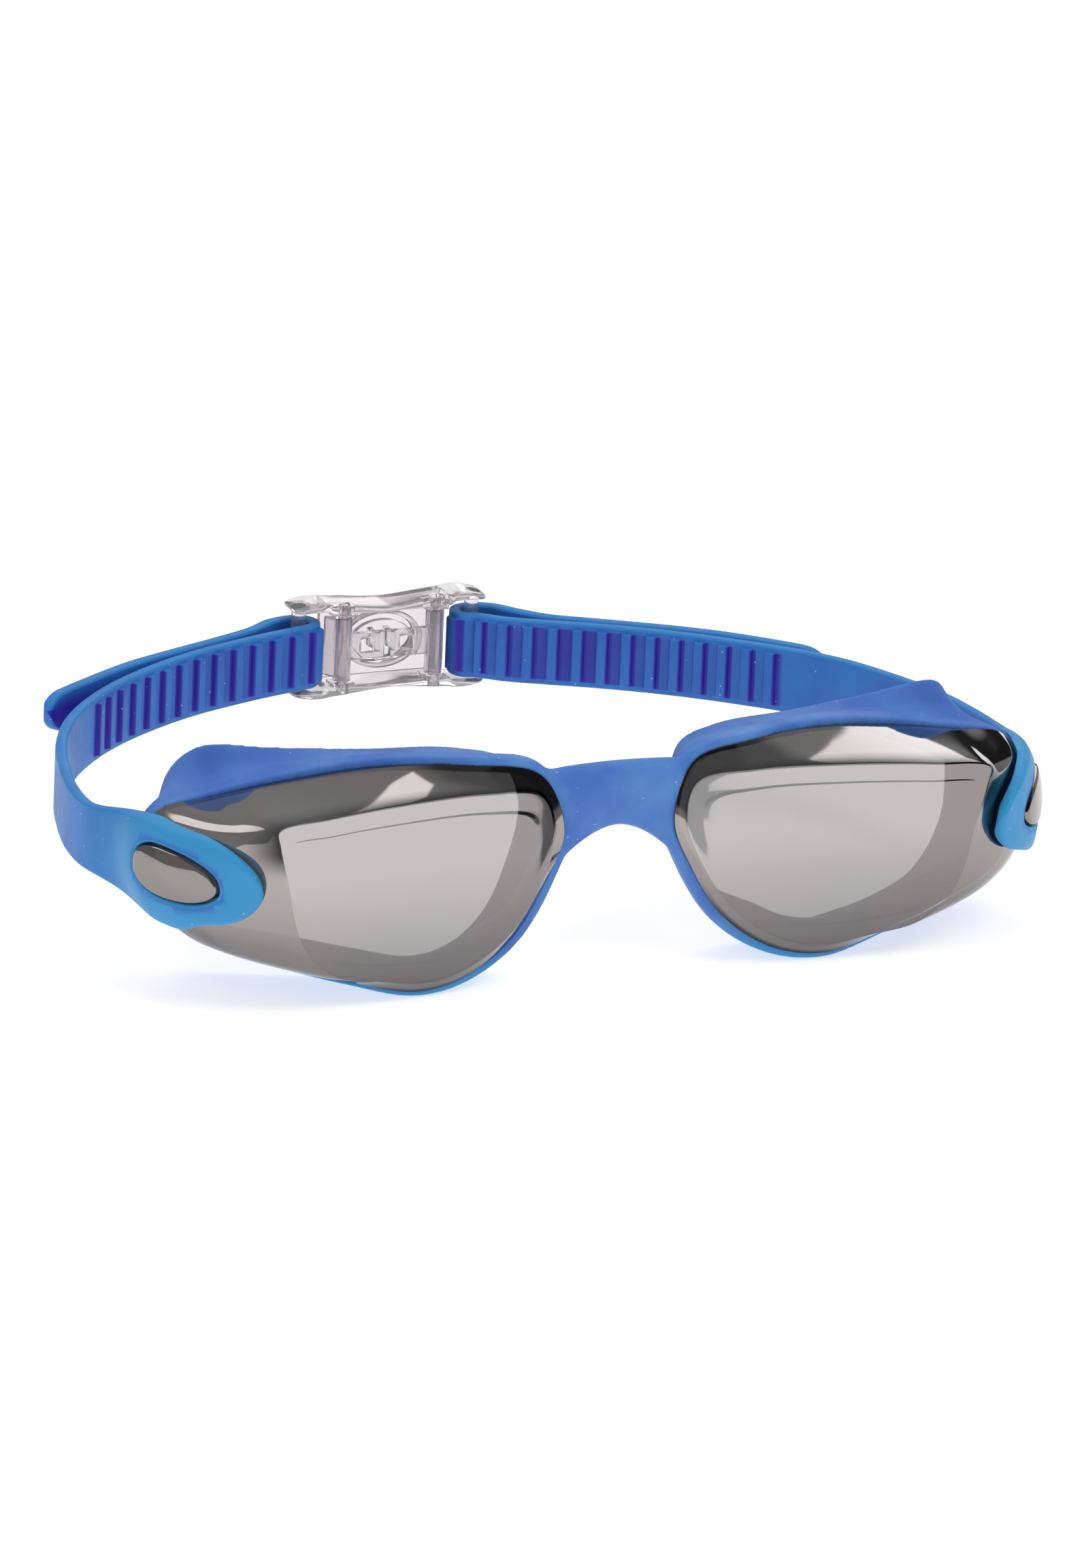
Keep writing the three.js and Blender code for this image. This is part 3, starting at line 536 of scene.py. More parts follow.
MIRROR_COAT = mirror_coat("mirror_coat", 0.78)
MIRROR_WALL = mirror_coat("mirror_coat_wall", 0.96)
LENS_INSIDE = lens_inside()
CLEAR = clear_plastic()
# Each silicone's third colour is painted shade; the seal's last colour is the painted deep shade inside the
# cups.
SEAL = silicone("seal_silicone", rgb("5083C4"), rgb("3D6AB8"), rgb("3450B0"), rgb("2E86C4"), rgb("1E2C55"))
STRAP = silicone("strap_silicone", rgb("2470C0"), rgb("2463B4"), rgb("2A1C9C"), rgb("2F8CC4"))


# ---------------------------------------------------------------- lenses
def shifted(loop, out, back):
    return loop + edge_normals * out + np.array([0, back, 0])


def towards_centre(loop, share, forward):
    x = loop[:, 0] + (PANEL_CENTRE[0] - loop[:, 0]) * share
    z = loop[:, 2] + (PANEL_CENTRE[1] - loop[:, 2]) * share
    return np.column_stack([x, front_y(x, z) - forward, z])


def on_front_between(share):
    """share 0 is the panel outline and share 1 the crease."""
    x = panel_loop[:, 0] + (crease_loop[:, 0] - panel_loop[:, 0]) * share
    z = panel_loop[:, 2] + (crease_loop[:, 2] - panel_loop[:, 2]) * share
    return np.column_stack([x, front_y(x, z), z])


def crease_fillet(radius):
    """Rings that round the crease: from the front face over to the side wall."""
    wall_length = np.linalg.norm(edge_loop - crease_loop, axis=1)
    front = crease_loop + unit(on_front_between(0.0) - crease_loop) * radius
    front[:, 1] = front_y(front[:, 0], front[:, 2])
    back = crease_loop + unit(wall(0.97) - crease_loop) * np.minimum(radius, wall_length * 0.3)[:, None]
    rings = []
    for t in np.linspace(0, 1, 7):
        rings.append(front * (1 - t) ** 2 + crease_loop * 2 * t * (1 - t) + back * t**2)
    return rings


WALL_SHARES = (0.88, 0.8, 0.7, 0.6, 0.5, 0.4, 0.3, 0.2, 0.1, 0.0)
CREASE_RING = 17  # ring of lens_shape() at the middle of the crease


def lens_shape():
    centre = np.array([PANEL_CENTRE[0], front_y(*PANEL_CENTRE), PANEL_CENTRE[1]])
    outer = [towards_centre(panel_loop, s, PANEL_STEP) for s in (0.85, 0.65, 0.45, 0.28, 0.14, 0.06)]
    outer += [
        towards_centre(panel_loop, 0.036, PANEL_STEP),
        towards_centre(panel_loop, 0.026, PANEL_STEP * 0.9),
        towards_centre(panel_loop, 0.016, PANEL_STEP * 0.65),
        towards_centre(panel_loop, 0.008, PANEL_STEP * 0.35),
        towards_centre(panel_loop, 0.0, PANEL_STEP * 0.1),
        towards_centre(panel_loop, -0.008, 0.0),
    ]
    outer += [on_front_between(s) for s in (0.3, 0.6)]
    outer += crease_fillet(CREASE_ROUND)
    outer += [wall(s) for s in WALL_SHARES]
    outer_count = len(outer)
    flange_outer = shifted(edge_loop, -LENS_FLANGE_INSET, LENS_FLANGE_DEPTH)
    inner = [shifted(edge_loop, -LENS_FLANGE_INSET, 0.05), flange_outer]
    inner.append(shifted(flange_outer, -LENS_FLANGE_WALL, 0))
    for s in (0.2, 0.35, 0.5, 0.65, 0.8, 0.92):
        inner.append(shifted(wall(s), -LENS_WALL, LENS_WALL * s + 0.4 * (1 - s)))
    inner.append(shifted(crease_loop, -LENS_WALL, LENS_WALL))
    inner += [towards_centre(panel_loop, s, -LENS_WALL) for s in (0.12, 0.4, 0.7)]
    poles = (centre - [0, PANEL_STEP, 0], centre + [0, LENS_WALL, 0])
    return (*skin(outer + inner, *poles), outer_count)


def lens_edge_shade(vertices, size, outer_count):
    """Painted shade: a dark line along the brow's crease, and a dark rim below where the wall meets the seal.
    """
    ring = np.arange(len(vertices)) // size
    z = vertices[:, 2]
    above = np.interp(ring - CREASE_RING, [-2, -1, 3, 4, 5, 6], [0, 1, 1, 0.6, 0.25, 0])
    above = above * smoothstep(z, 25, 30)
    last = outer_count - 1
    below = np.interp(ring - last, [-4, -3, -1, 0, 1], [0, 0.35, 0.75, 0.9, 0])
    return np.maximum(above, below * (1 - smoothstep(z, 8, 18)))


def lens(name, side):
    vertices, faces, outer_count = lens_shape()
    shell = new_object(name + "_shell", mirrored((vertices, faces), side), sharp=40)
    for material in (MIRROR_COAT, LENS_INSIDE, MIRROR_WALL):
        shell.data.materials.append(material)
    size = len(edge_loop)
    last_outer = (outer_count - 1) * size
    front_pole = len(vertices) - 2
    for polygon in shell.data.polygons:
        first = min(polygon.vertices)
        inside = first >= last_outer and front_pole not in polygon.vertices
        on_wall = CREASE_RING * size <= first < last_outer
        polygon.material_index = 1 if inside else 2 if on_wall else 0
    # painted shade along the brow's crease and the lower rim, carried by the edge attribute
    set_attribute(shell, "edge", lens_edge_shade(vertices, size, outer_count))
    boss = new_object(name + "_boss", lens_boss(side), sharp=40)
    boss.data.materials.append(MIRROR_COAT)
    return shell, boss


# ---------------------------------------------------------------- straps
def strap_route(side, band, tail):
    pad_offset = PAD_CLEARANCE + STRAP_THICKNESS / 2
    points = []
    for share in PAD_SHARES:
        here = wall_at_height(share, PAD_MIDDLE)
        along = unit(wall_at_height(share - 0.02, PAD_MIDDLE) - here)
        x, y = here + np.array([along[1], -along[0]]) * pad_offset
        points.append((side * x, y))
    points += band
    post_x = side * POST_OFFSET + BUCKLE[0]
    for degrees in (-90, -45, 0, 45, 90):
        angle = math.radians(degrees)
        x = post_x - side * TURN_RADIUS * math.cos(angle)
        points.append((x, BUCKLE[1] + TURN_RADIUS * math.sin(angle)))
    points += tail
    line = spline(points, False, ROUTE_STEPS)
    steps = np.linalg.norm(np.diff(line, axis=0), axis=1)
    lengths = np.concatenate([[0], np.cumsum(steps)])
    return {
        "side": side,
        "line": line,
        "lengths": lengths,
        "length": lengths[-1],
        "pad_end": lengths[ROUTE_STEPS * (len(PAD_SHARES) - 1)],
        "turn_start": lengths[ROUTE_STEPS * (len(PAD_SHARES) + len(band))],
        "turn_end": lengths[ROUTE_STEPS * (len(PAD_SHARES) + len(band) + 4)],
    }


def route_at(route, distance):
    """Plan position and outward direction of the strap at a distance from the tip of its pad."""

    def at(d):
        return np.array([np.interp(d, route["lengths"], route["line"][:, k]) for k in (0, 1)])

    reach = 0.25
    along = unit(at(min(distance + reach, route["length"])) - at(max(distance - reach, 0)))
    return at(distance), np.array([along[1], -along[0]]) * route["side"]


def strap_point(route, distance, z, depth):
    """Points of the strap at those heights and depths from its middle surface."""
    here, out = route_at(route, distance)
    share = PAD_TIP_SHARE * np.clip(1 - distance / route["pad_end"], 0, 1)
    follow = 1 - smoothstep(distance, route["pad_end"], route["pad_end"] + NECK_LENGTH)
    z = np.asarray(z, float)
    lean = np.zeros((len(z), 2))
    if follow > 0:
        lean = (wall_at_height(share, z) - wall_at_height(share, PAD_MIDDLE)) * follow
        lean[:, 0] *= route["side"]
    plan = here + out * np.asarray(depth, float)[:, None] + lean
    return np.column_stack([plan, z])


def strap_height(route, distance):
    neck = smoothstep(distance, route["pad_end"] - 4, route["pad_end"] + NECK_LENGTH)
    drop = PAD_DROP * smoothstep(distance, 10, 22) * (1 - smoothstep(distance, 26, 44))
    turn = route["turn_start"]
    rise = BUCKLE_RISE[route["side"]] * smoothstep(distance, turn - 50, turn - 8)
    taper = 1 - TAIL_TAPER * (1 - smoothstep(route["length"] - distance, 2, TAPER_LENGTH))
    untapered = PAD_HEIGHT / 2 + (STRAP_WIDTH / 2 - PAD_HEIGHT / 2) * neck + drop / 2
    full = untapered * taper
    middle = PAD_MIDDLE + (STRAP_MIDDLE - PAD_MIDDLE) * neck - drop / 2 + rise
    nose = np.clip(distance / 13, 0, 1)
    tail = np.clip((route["length"] - distance) / TAIL_ROUND, 0, 1)
    half = full * math.sqrt(1 - (1 - nose) ** 2) * math.sqrt(1 - (1 - tail) ** 2)
    lift = TAIL_LIFT * (full - half) if distance > route["pad_end"] else 0
    return half, middle + lift + untapered - full, neck


INNER_ROWS = [-1, -0.93, -0.905, -0.885, -0.865, -0.84, -0.5, 0, 0.5, 0.84, 0.865, 0.885, 0.905, 0.93, 1]
INNER_RIB = [0, 0, 0.15, 0.75, 0.97, 1, 1, 1, 1, 1, 0.97, 0.75, 0.15, 0, 0]
OUTER_ROWS = [1, 0.85, 0.6, 0.3, 0, -0.3, -0.6, -0.85, -1]
OUTER_SHADE = [0, 0.25, 0.7, 1, 1, 1, 1, 0.9, 0.5]  # the tail's face towards the band
CORNER = np.radians([15, 30, 45, 60, 75])


def strap_section(route, distance, rib):
    half, middle, neck = strap_height(route, distance)
    from_end = min(distance, route["length"] - distance)
    thick = STRAP_THICKNESS / 2 * math.sqrt(1 - (1 - min(from_end / 1.1, 1)) ** 2)
    thick, half = max(thick, 0.02), max(half, 0.02)
    inner_round = min(0.45, thick * 0.6, half * 0.6)
    outer_round = min(0.95 - 0.35 * neck, thick, half * 0.8)
    z, depth, rows = [], [], []
    for row, share in zip(INNER_ROWS, INNER_RIB):
        z.append(row * (half - inner_round))
        depth.append(-thick - rib * share * RIB_HEIGHT)
    for a in CORNER:
        z.append(half - inner_round + inner_round * math.sin(a))
        depth.append(-thick + inner_round - inner_round * math.cos(a))
    for a in CORNER:
        z.append(half - outer_round + outer_round * math.cos(a))
        depth.append(thick - outer_round + outer_round * math.sin(a))
    for row in OUTER_ROWS:
        z.append(row * (half - outer_round))
        depth.append(thick)
    for a in CORNER[::-1]:
        z.append(-(half - outer_round + outer_round * math.cos(a)))
        depth.append(thick - outer_round + outer_round * math.sin(a))
    for a in CORNER[::-1]:
        z.append(-(half - inner_round + inner_round * math.sin(a)))
        depth.append(-thick + inner_round - inner_round * math.cos(a))
    return strap_point(route, distance, middle + np.array(z), depth)


def gap_shade(route, distance):
    """Shade of the grooves between ribs: deepest a little way before the buckle on the right band."""
    deepest = 0.75 if route["side"] > 0 else 0.22
    return 0.12 + deepest * math.exp(-(((route["turn_start"] - 21 - distance) / 13) ** 2))


def strap_stations(route):
    """Distances, rib heights and shade of the sections of a strap."""
    rows = [(d, 0.0, 0.0) for d in (0.0, 0.05, 0.15, 0.3, 0.5, 0.8, 1.1, 1.5)]
    rib_start = route["turn_start"] - RIBS_FROM_BUCKLE[route["side"]]
    rib_end = route["length"] - TAPER_LENGTH - RIB_WIDTH
    rows += [(d, 0.0, 0.0) for d in np.arange(2.2, rib_start - 0.8, 0.8)]
    flank = [(0, 0), (0.1, 0.3), (0.22, 0.75), (0.4, 0.97), (0.6, 1)]
    start = rib_start
    while start < rib_end:
        deep = gap_shade(route, start)
        rows += [(start - 0.45, 0.0, 0.95), (start - 0.25, 0.0, 1.0)]
        rows += [(start + d, h, s) for (d, h), s in zip(flank, (1, 1, 1, 0.7, 0.12))]
        rows += [(start + RIB_WIDTH / 2, 1.0, 0.12)]
        far_flank = zip(flank[::-1], (0.15, 0.25, 0.5, 0.5, deep))
        rows += [(start + RIB_WIDTH - d, h, s) for (d, h), s in far_flank]
        gap = RIB_PITCH - RIB_WIDTH
        rows += [(start + RIB_WIDTH + gap * f, 0.0, deep) for f in (0.15, 0.45, 0.7)]
        start += RIB_PITCH
    rows = [r for r in rows if r[0] < route["length"] - TAPER_LENGTH]
    last = rows[-1][0]
    rows += [(d, 0.0, 0.3) for d in np.arange(last + 0.5, route["length"] - 1.4, 0.7)]
    rows += [(route["length"] - d, 0.0, 0.3) for d in (1.1, 0.8, 0.5, 0.3, 0.15, 0.05, 0.0)]
    return rows


def key_frame():
    front = wall_at_height(0.64, PAD_MIDDLE)
    rear = wall_at_height(0.05, PAD_MIDDLE)
    along = unit(rear - front)
    return (front + rear) / 2, along


def key_outline(grow, sides=72):
    angle = 2 * np.pi * np.arange(sides) / sides
    c, s = np.cos(angle), np.sin(angle)
    along = (KEY_LENGTH / 2 + grow) * np.sign(c) * abs(c) ** KEY_BLUNT
    height = (KEY_HEIGHT / 2 + grow) * np.sign(s) * abs(s) ** KEY_BLUNT * (1 + KEY_TAPER * c)
    return along, height


def key_ring(route, grow, depth, shrink=1.0):
    """The egg outline laid on the strap pad at a depth from the strap's middle surface."""
    centre, direction = key_frame()
    along, height = key_outline(grow)
    distances = np.linspace(0, 40, 81)
    plans = [strap_point(route, d, [PAD_MIDDLE], [depth])[0, :2] for d in distances]
    reach = [(plan - centre) @ direction for plan in plans]
    points = []
    for a, h in zip(along * shrink, height * shrink):
        distance = np.interp(a, reach, distances)
        points.append(strap_point(route, distance, [KEY_MIDDLE + h], [depth])[0])
    return np.array(points)


RIGHT_ROUTE = strap_route(1, BAND_RIGHT, TAIL_RIGHT)
LEFT_ROUTE = strap_route(-1, BAND_LEFT, TAIL_LEFT)


def lens_boss(side):
    top = STRAP_THICKNESS / 2 + KEY_PROUD
    profile = [(0, -1.45, 1), (0, 0.7, 1), (0, top - 0.35, 1), (-0.08, top - 0.16, 1), (-0.24, top - 0.04, 1)]
    profile += [(-0.45, top, 1), (-0.75, top + 0.02, 1)]
    profile += [(-0.75, top + 0.02 + 0.12 * (1 - s * s), s) for s in (0.85, 0.65, 0.45, 0.25, 0.1)]
    rings = [key_ring(RIGHT_ROUTE, grow, depth, shrink) for grow, depth, shrink in profile]
    return mirrored(bar(rings), side)


def key_cutter(side):
    top = STRAP_THICKNESS / 2
    profile = [(0, -3.0), (0, 0.25), (0.05, 0.55), (0.18, 0.78), (0.4, 0.93), (0.75, top)]
    profile += [(1.3, top + 0.12), (1.3, top + 1.5)]
    rings = [key_ring(RIGHT_ROUTE, GAP + grow, depth) for grow, depth in profile]
    return mirrored(bar(rings), side)


def strap(name, route):
    stations = strap_stations(route)
    rings = [strap_section(route, d, rib) for d, rib, _ in stations]
    vertices, faces = bar(rings)
    obj = new_object(name + "_mesh", (vertices, faces), sharp=50)
    size = len(rings[0])
    inner = np.zeros(size)
    inner[: len(INNER_ROWS)] = INNER_RIB
    corners = slice(len(INNER_ROWS), len(INNER_ROWS) + 2 * len(CORNER))
    outer = np.zeros(size)
    outer[corners.stop : corners.stop + len(OUTER_ROWS)] = OUTER_SHADE
    tail = [smoothstep(d, route["turn_end"] - 3, route["turn_end"] + 3) for d, _, _ in stations]
    # painted shade on the rib flanks and grooves, and on the tail's face towards the band
    shade = np.concatenate([inner * row[2] + outer * t for row, t in zip(stations, tail)] + [[0, 0]])
    azure_and_rim_highlight = []
    for d, _, _ in stations:
        ring = np.full(size, 1 - smoothstep(d, route["pad_end"] - 6, route["pad_end"] + 26))
        # painted highlight: the strap's top rim rows take at least 0.4 of the azure tint, as if lit from
        # above
        ring[corners] = np.maximum(ring[corners], 0.4)
        azure_and_rim_highlight.append(ring)
    azure_and_rim_highlight = np.concatenate(azure_and_rim_highlight + [[1, 0]])
    set_attribute(obj, "shade", shade)
    set_attribute(obj, "azure_and_rim_highlight", azure_and_rim_highlight)
    return cut(obj, new_object("cutter", key_cutter(route["side"])))


# ---------------------------------------------------------------- seal and nose bridge
def seal_rings():
    lip = bow_lip_loop[:, 1:2]
    lip_inner = GAP - LENS_FLANGE_INSET
    shelf_back = LENS_FLANGE_DEPTH + GAP

    def at(out, back):
        return edge_loop + edge_normals * out + np.array([0, back, 0])

    shelf = SEAL_SHELF + SHELF_EXTRA * smoothstep(-edge_loop[:, 2:], -14, -5)
    band_rear = at(lip, SEAL_BAND_DEPTH)
    inwards = unit(np.cross(skirt_loop - band_rear, edge_along)) * SEAL_SKIRT_WALL
    waist = band_rear + (skirt_loop - band_rear) * 0.45 + inwards * 0.7
    tip = skirt_loop + unit(skirt_loop - waist) * SKIRT_EXTRA
    before_tip = tip - (tip - waist) * 0.06
    outer = [band_rear, waist, before_tip]
    inner = [before_tip + inwards, waist + inwards * 1.3, at(-shelf, SEAL_BAND_DEPTH + 0.8)]

    def bent(points, steps=8):
        """A smooth open curve through three loops, ring by ring."""
        p = np.stack(points)
        p = np.concatenate([2 * p[:1] - p[1:2], p, 2 * p[-1:] - p[-2:-1]])
        rings = []
        for k in range(len(p) - 3):
            a, b, c, d = p[k : k + 4]
            for t in np.arange(steps) / steps:
                square = (2 * a - 5 * b + 4 * c - d) * t**2
                cube = (3 * b - a - 3 * c + d) * t**3
                rings.append(0.5 * (2 * b + (c - a) * t + square + cube))
        return rings + [p[-2]]

    rings = [
        at(lip_inner, GAP),
        at(np.maximum(lip - 0.55, lip_inner + 0.2), GAP),
        at(np.maximum(lip - 0.2, lip_inner + 0.3), GAP + 0.2),
        at(np.maximum(lip - 0.04, lip_inner + 0.35), GAP + 0.5),
        at(lip, GAP + 1.0),
        at(lip, 2.2),
    ]
    rings += bent(outer)
    rings += [tip + inwards * 0.25, tip + inwards * 0.75]
    rings += bent(inner)
    rings += [at(-shelf, shelf_back), at(lip_inner, shelf_back)]
    return np.array(rings)


def bridge_rings():
    rings = []
    outline = np.array(BRIDGE_OUTLINE)
    for share in np.linspace(-1, 1, 33):
        towards_end = abs(share) ** 1.8
        z = outline[:, 1] + (outline[:, 2] - outline[:, 1]) * towards_end
        ring = np.column_stack([share * outline[:, 0], outline[:, 3], z])
        rings.append(spline(ring, True, 5))
    return rings


def seal():
    shape = skin(seal_rings(), wrap=True)
    obj = new_object("seal_mesh", shape)
    join(obj, new_object("other", mirrored(shape, -1)))
    join(obj, new_object("bridge", bar(bridge_rings())))
    remesh = obj.modifiers.new("remesh", "REMESH")
    remesh.mode = "VOXEL"
    remesh.voxel_size = SEAL_VOXEL * MM
    settle(obj)
    x, _, z = design_points(obj).T
    near = np.clip(1 - np.abs(np.abs(x) - JOINT_X) / JOINT_REACH, 0, 1) * np.clip((z - 16) / 4, 0, 1)
    group = obj.vertex_groups.new(name="joint")
    for index in np.nonzero(near > 0.01)[0]:
        group.add([int(index)], float(near[index]), "REPLACE")
    soft = obj.modifiers.new("soft", "SMOOTH")
    soft.factor = 0.5
    soft.iterations = 14
    soft.vertex_group = "joint"
    even = obj.modifiers.new("even", "CORRECTIVE_SMOOTH")
    even.factor = 0.5
    even.iterations = 2
    even.use_only_smooth = True
    settle(obj)
    seal_shades(obj)
    return obj


def seal_shades(obj):
    """Marks the painted shade on the cups' inner faces, the skirt's painted shade and the azure foot."""
    x, y, z = design_points(obj).T
    normals = np.array([v.normal for v in obj.data.vertices])
    outwards = np.column_stack([x - np.sign(x) * PANEL_CENTRE[0], z - PANEL_CENTRE[1]])
    facing = -(unit(outwards) * normals[:, [0, 2]]).sum(axis=1)
    # painted shade: faces inside the cups, behind the lenses, darken to deep navy as if unlit
    inside = smoothstep(facing, 0.1, 0.5) * smoothstep(y, 1.0, 3.0) * (abs(x) > JOINT_X + 1.5)
    set_attribute(obj, "inside", inside)
    set_attribute(obj, "shade", np.clip((y - 6) / 14, 0, 1) * 0.3)
    set_attribute(obj, "azure_and_rim_highlight", smoothstep(-z, -8.0, -3.5))


# ---------------------------------------------------------------- buckle
def prism(outline, low, high, axis):
    """A prism from an outline in the two other axes, between low and high along axis 1 (Y) or 2 (Z)."""
    outline = np.asarray(outline, float)
    rings = []
    for level in (low, high):
        first, second = outline.T
        level = np.full(len(outline), level)
        rings.append(np.column_stack([first, level, second] if axis == 1 else [first, second, level]))
    count = len(outline)
    vertices = np.vstack(rings)
    faces = [[i, (i + 1) % count, count + (i + 1) % count, count + i] for i in range(count)]
    faces += [list(range(count)), list(range(count, 2 * count))]
    return vertices, faces


def rectangle(x0, x1, y0, y1):
    return [(x0, y0), (x1, y0), (x1, y1), (x0, y1)]


def block(x0, x1, y0, y1, z0, z1):
    return prism(rectangle(x0, x1, y0, y1), z0, z1, 2)


def oval(half_length, half_height, sides=64, centre=(0, 0)):
    angle = 2 * np.pi * np.arange(sides) / sides
    return np.column_stack([centre[0] + half_length * np.cos(angle), centre[1] + half_height * np.sin(angle)])


def post(radius, half_height, x, y, sides=32):
    return prism(oval(radius, radius, sides, (x, y)), -half_height, half_height, 2)


def pin_bore(side):
    return buckle_object("bore", post(PIN_RADIUS + GAP, BORE_HALF_LENGTH, side * PIVOT_X, PIVOT_Y))


def buckle_object(name, shape, bevel=0.0, segments=3):
    obj = new_object(name, shape, BUCKLE)
    return bevelled(obj, bevel, segments) if bevel else obj


RAIL_CREST = [(-17.5, 7.8), (-14.0, 8.55), (-8.5, 8.2), (0, 7.4), (8.5, 8.2), (14.0, 8.55), (17.5, 7.8)]


def rail_rings(side):
    """The wavy top or bottom rail as a rounded bar."""
    crest = spline(RAIL_CREST, False, 12)
    power_y, power_z = RAIL_POWERS
    rings = []
    for x in np.linspace(-BUCKLE_HALF_LENGTH, BUCKLE_HALF_LENGTH, 61):
        top = np.interp(x, crest[:, 0], crest[:, 1])
        bottom = RAIL_INNER + (SLOT_HALF_HEIGHT - RAIL_INNER) * smoothstep(abs(x), 10.9, 11.9)
        end = BUCKLE_HALF_LENGTH - abs(x)
        rounding = math.sqrt(1 - (1 - min(end / RAIL_END_ROUND, 1)) ** 2)
        depth = (BUCKLE_DEPTH / 2 - RAIL_CORNER) + RAIL_CORNER * rounding
        middle = (top + bottom) / 2
        height = (top - bottom) / 2 * (0.72 + 0.28 * rounding)
        ring = []
        for a in 2 * np.pi * np.arange(40) / 40:
            c, s = math.cos(a), math.sin(a)
            y = depth * math.copysign(abs(c) ** power_y, c)
            z = middle + height * math.copysign(abs(s) ** power_z, s)
            ring.append((x, y, side * z))
        rings.append(ring)
    return rings


def buckle_frame():
    obj = new_object("frame_top", bar(rail_rings(1)), BUCKLE)
    join(obj, new_object("frame_bottom", bar(rail_rings(-1)), BUCKLE))
    web_y = (WEB_INNER_Y, WEB_INNER_Y + WEB_THICKNESS)
    web = block(-WEB_HALF_LENGTH, WEB_HALF_LENGTH, *web_y, -WEB_HALF_HEIGHT, WEB_HALF_HEIGHT)
    join(obj, buckle_object("web", web, 0.25))
    for side in (-1, 1):
        for up in (-1, 1):
            z0, z1 = sorted((up * (RAIL_INNER - 0.45), up * (RAIL_INNER + 0.6)))
            x0, x1 = side * PIVOT_X - SEAT_HALF_LENGTH, side * PIVOT_X + SEAT_HALF_LENGTH
            seat = block(x0, x1, -BUCKLE_DEPTH / 2 + 0.25, 0.1, z0, z1)
            join(obj, buckle_object("seat", seat, 0.2, 2))
        join(obj, buckle_object("post", post(POST_RADIUS, POST_HALF_HEIGHT, side * POST_OFFSET, 0)))
    window = prism(oval(BUTTON_HALF_LENGTH + 0.35, BUTTON_HALF_HEIGHT + 0.35), 0, BUCKLE_DEPTH, 1)
    cut(obj, buckle_object("window", window))
    for side in (-1, 1):
        cut(obj, pin_bore(side))
    return obj


def oval_dish(length, height, profile):
    """A skin through ovals, each given as how much larger it is than that length and height, and its y."""
    rings = []
    for grow, y in profile:
        flat = oval(length + grow, height + grow)
        rings.append(np.column_stack([flat[:, 0], np.full(len(flat), y), flat[:, 1]]))
    return bar(rings)


def release_button():
    back = WEB_INNER_Y - GAP - BUTTON_FLANGE_THICKNESS
    face = WEB_INNER_Y + WEB_THICKNESS + BUTTON_PROUD
    flange_top = back + BUTTON_FLANGE_THICKNESS
    profile = [
        (-2.0, face - 1.2),
        (-1.25, face - 1.25),
        (-1.0, face - 1.45),
        (-1.0, back + 0.15),
        (-0.85, back),
        (BUTTON_FLANGE - 0.15, back),
        (BUTTON_FLANGE, back + 0.15),
        (BUTTON_FLANGE, flange_top - 0.15),
        (BUTTON_FLANGE - 0.15, flange_top),
        (0.1, flange_top),
        (0, flange_top + 0.12),
        (0, face - 0.5),
        (-0.12, face - 0.2),
        (-0.4, face - 0.05),
        (-0.8, face),
        (-2.0, face + 0.05),
    ]
    obj = new_object("button_shell", oval_dish(BUTTON_HALF_LENGTH, BUTTON_HALF_HEIGHT, profile), BUCKLE)
    half_x, half_z = BUTTON_FOOT_HALF
    for side in (-1, 1):
        x = side * BUTTON_FOOT_X
        foot = block(x - half_x, x + half_x, BUTTON_FOOT_Y, face - 0.6, -half_z, half_z)
        join(obj, buckle_object("foot", foot, 0.15, 2))
    return obj


PAWL_TOOTH = [(7.6, -1.0), (9.6, -2.2), (10.8, -0.4), (11.0, 0.6), (10.5, 1.0), (9.3, 0.4)]


def pawl(side):
    barrel = post(BARREL_RADIUS, BARREL_HALF_HEIGHT, side * PIVOT_X, PIVOT_Y, 40)
    obj = buckle_object("barrel", barrel, 0.2, 2)
    tooth = prism([(side * x, y) for x, y in PAWL_TOOTH], -PAWL_HALF_HEIGHT, PAWL_HALF_HEIGHT, 2)
    join(obj, buckle_object("tooth", tooth, 0.12, 2))
    x0, x1 = sorted((side * ARM_START, side * (PIVOT_X - 0.6)))
    arm = block(x0, x1, -1.8, -0.6, -ARM_HALF_HEIGHT, ARM_HALF_HEIGHT)
    join(obj, buckle_object("arm", arm, 0.2, 2))
    half = ARM_WINDOW / 2
    x0, x1 = sorted((side * (ARM_WINDOW_X - half), side * (ARM_WINDOW_X + half)))
    cut(obj, buckle_object("opening", block(x0, x1, -3, 1, -half, half), 0.3, 2))
    return cut(obj, pin_bore(side))


def pivot_pin(side):
    return buckle_object("pin", post(PIN_RADIUS, PIN_HALF_LENGTH, side * PIVOT_X, PIVOT_Y), 0.15, 2)


# ---------------------------------------------------------------- the pieces
for name, side in (("left", -1), ("right", 1)):
    shell, boss = lens("lens_" + name, side)
    for part in (shell, boss):
        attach(part, "goggles")
    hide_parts("lens_" + name)
    route = RIGHT_ROUTE if side > 0 else LEFT_ROUTE
    node = "strap_" + name
    finish_piece(strap(node, route), node + "_silicone", "goggles", STRAP, 45, node)
    node = "pawl_" + name
    finish_piece(pawl(side), node + "_clear", "pawl_" + name[0], CLEAR, 35, node)
    node = "pivot_pin_" + name
    finish_piece(pivot_pin(side), node + "_clear", "goggles", CLEAR, 35, node)

finish_piece(seal(), "seal_silicone", "goggles", SEAL, 80, "seal_frame")
finish_piece(buckle_frame(), "buckle_frame_clear", "goggles", CLEAR, 35, "buckle_frame")
finish_piece(release_button(), "release_button_clear", "button", CLEAR, 35, "release_button")

# ---------------------------------------------------------------- stage, lights and camera
CAMERA_AZIMUTH = math.radians(-22.2)
CAMERA_ELEVATION = math.radians(19.0)
CAMERA_ROLL = math.radians(2.3)
CAMERA_DISTANCE = 3.0
PIXELS_PER_METRE = 8795
IMAGE_HEIGHT = 2305
SENSOR = 36.0
AIM_RIGHT = -11.086  # mm from the design origin to the picture's middle, along the picture
AIM_UP = 31.768

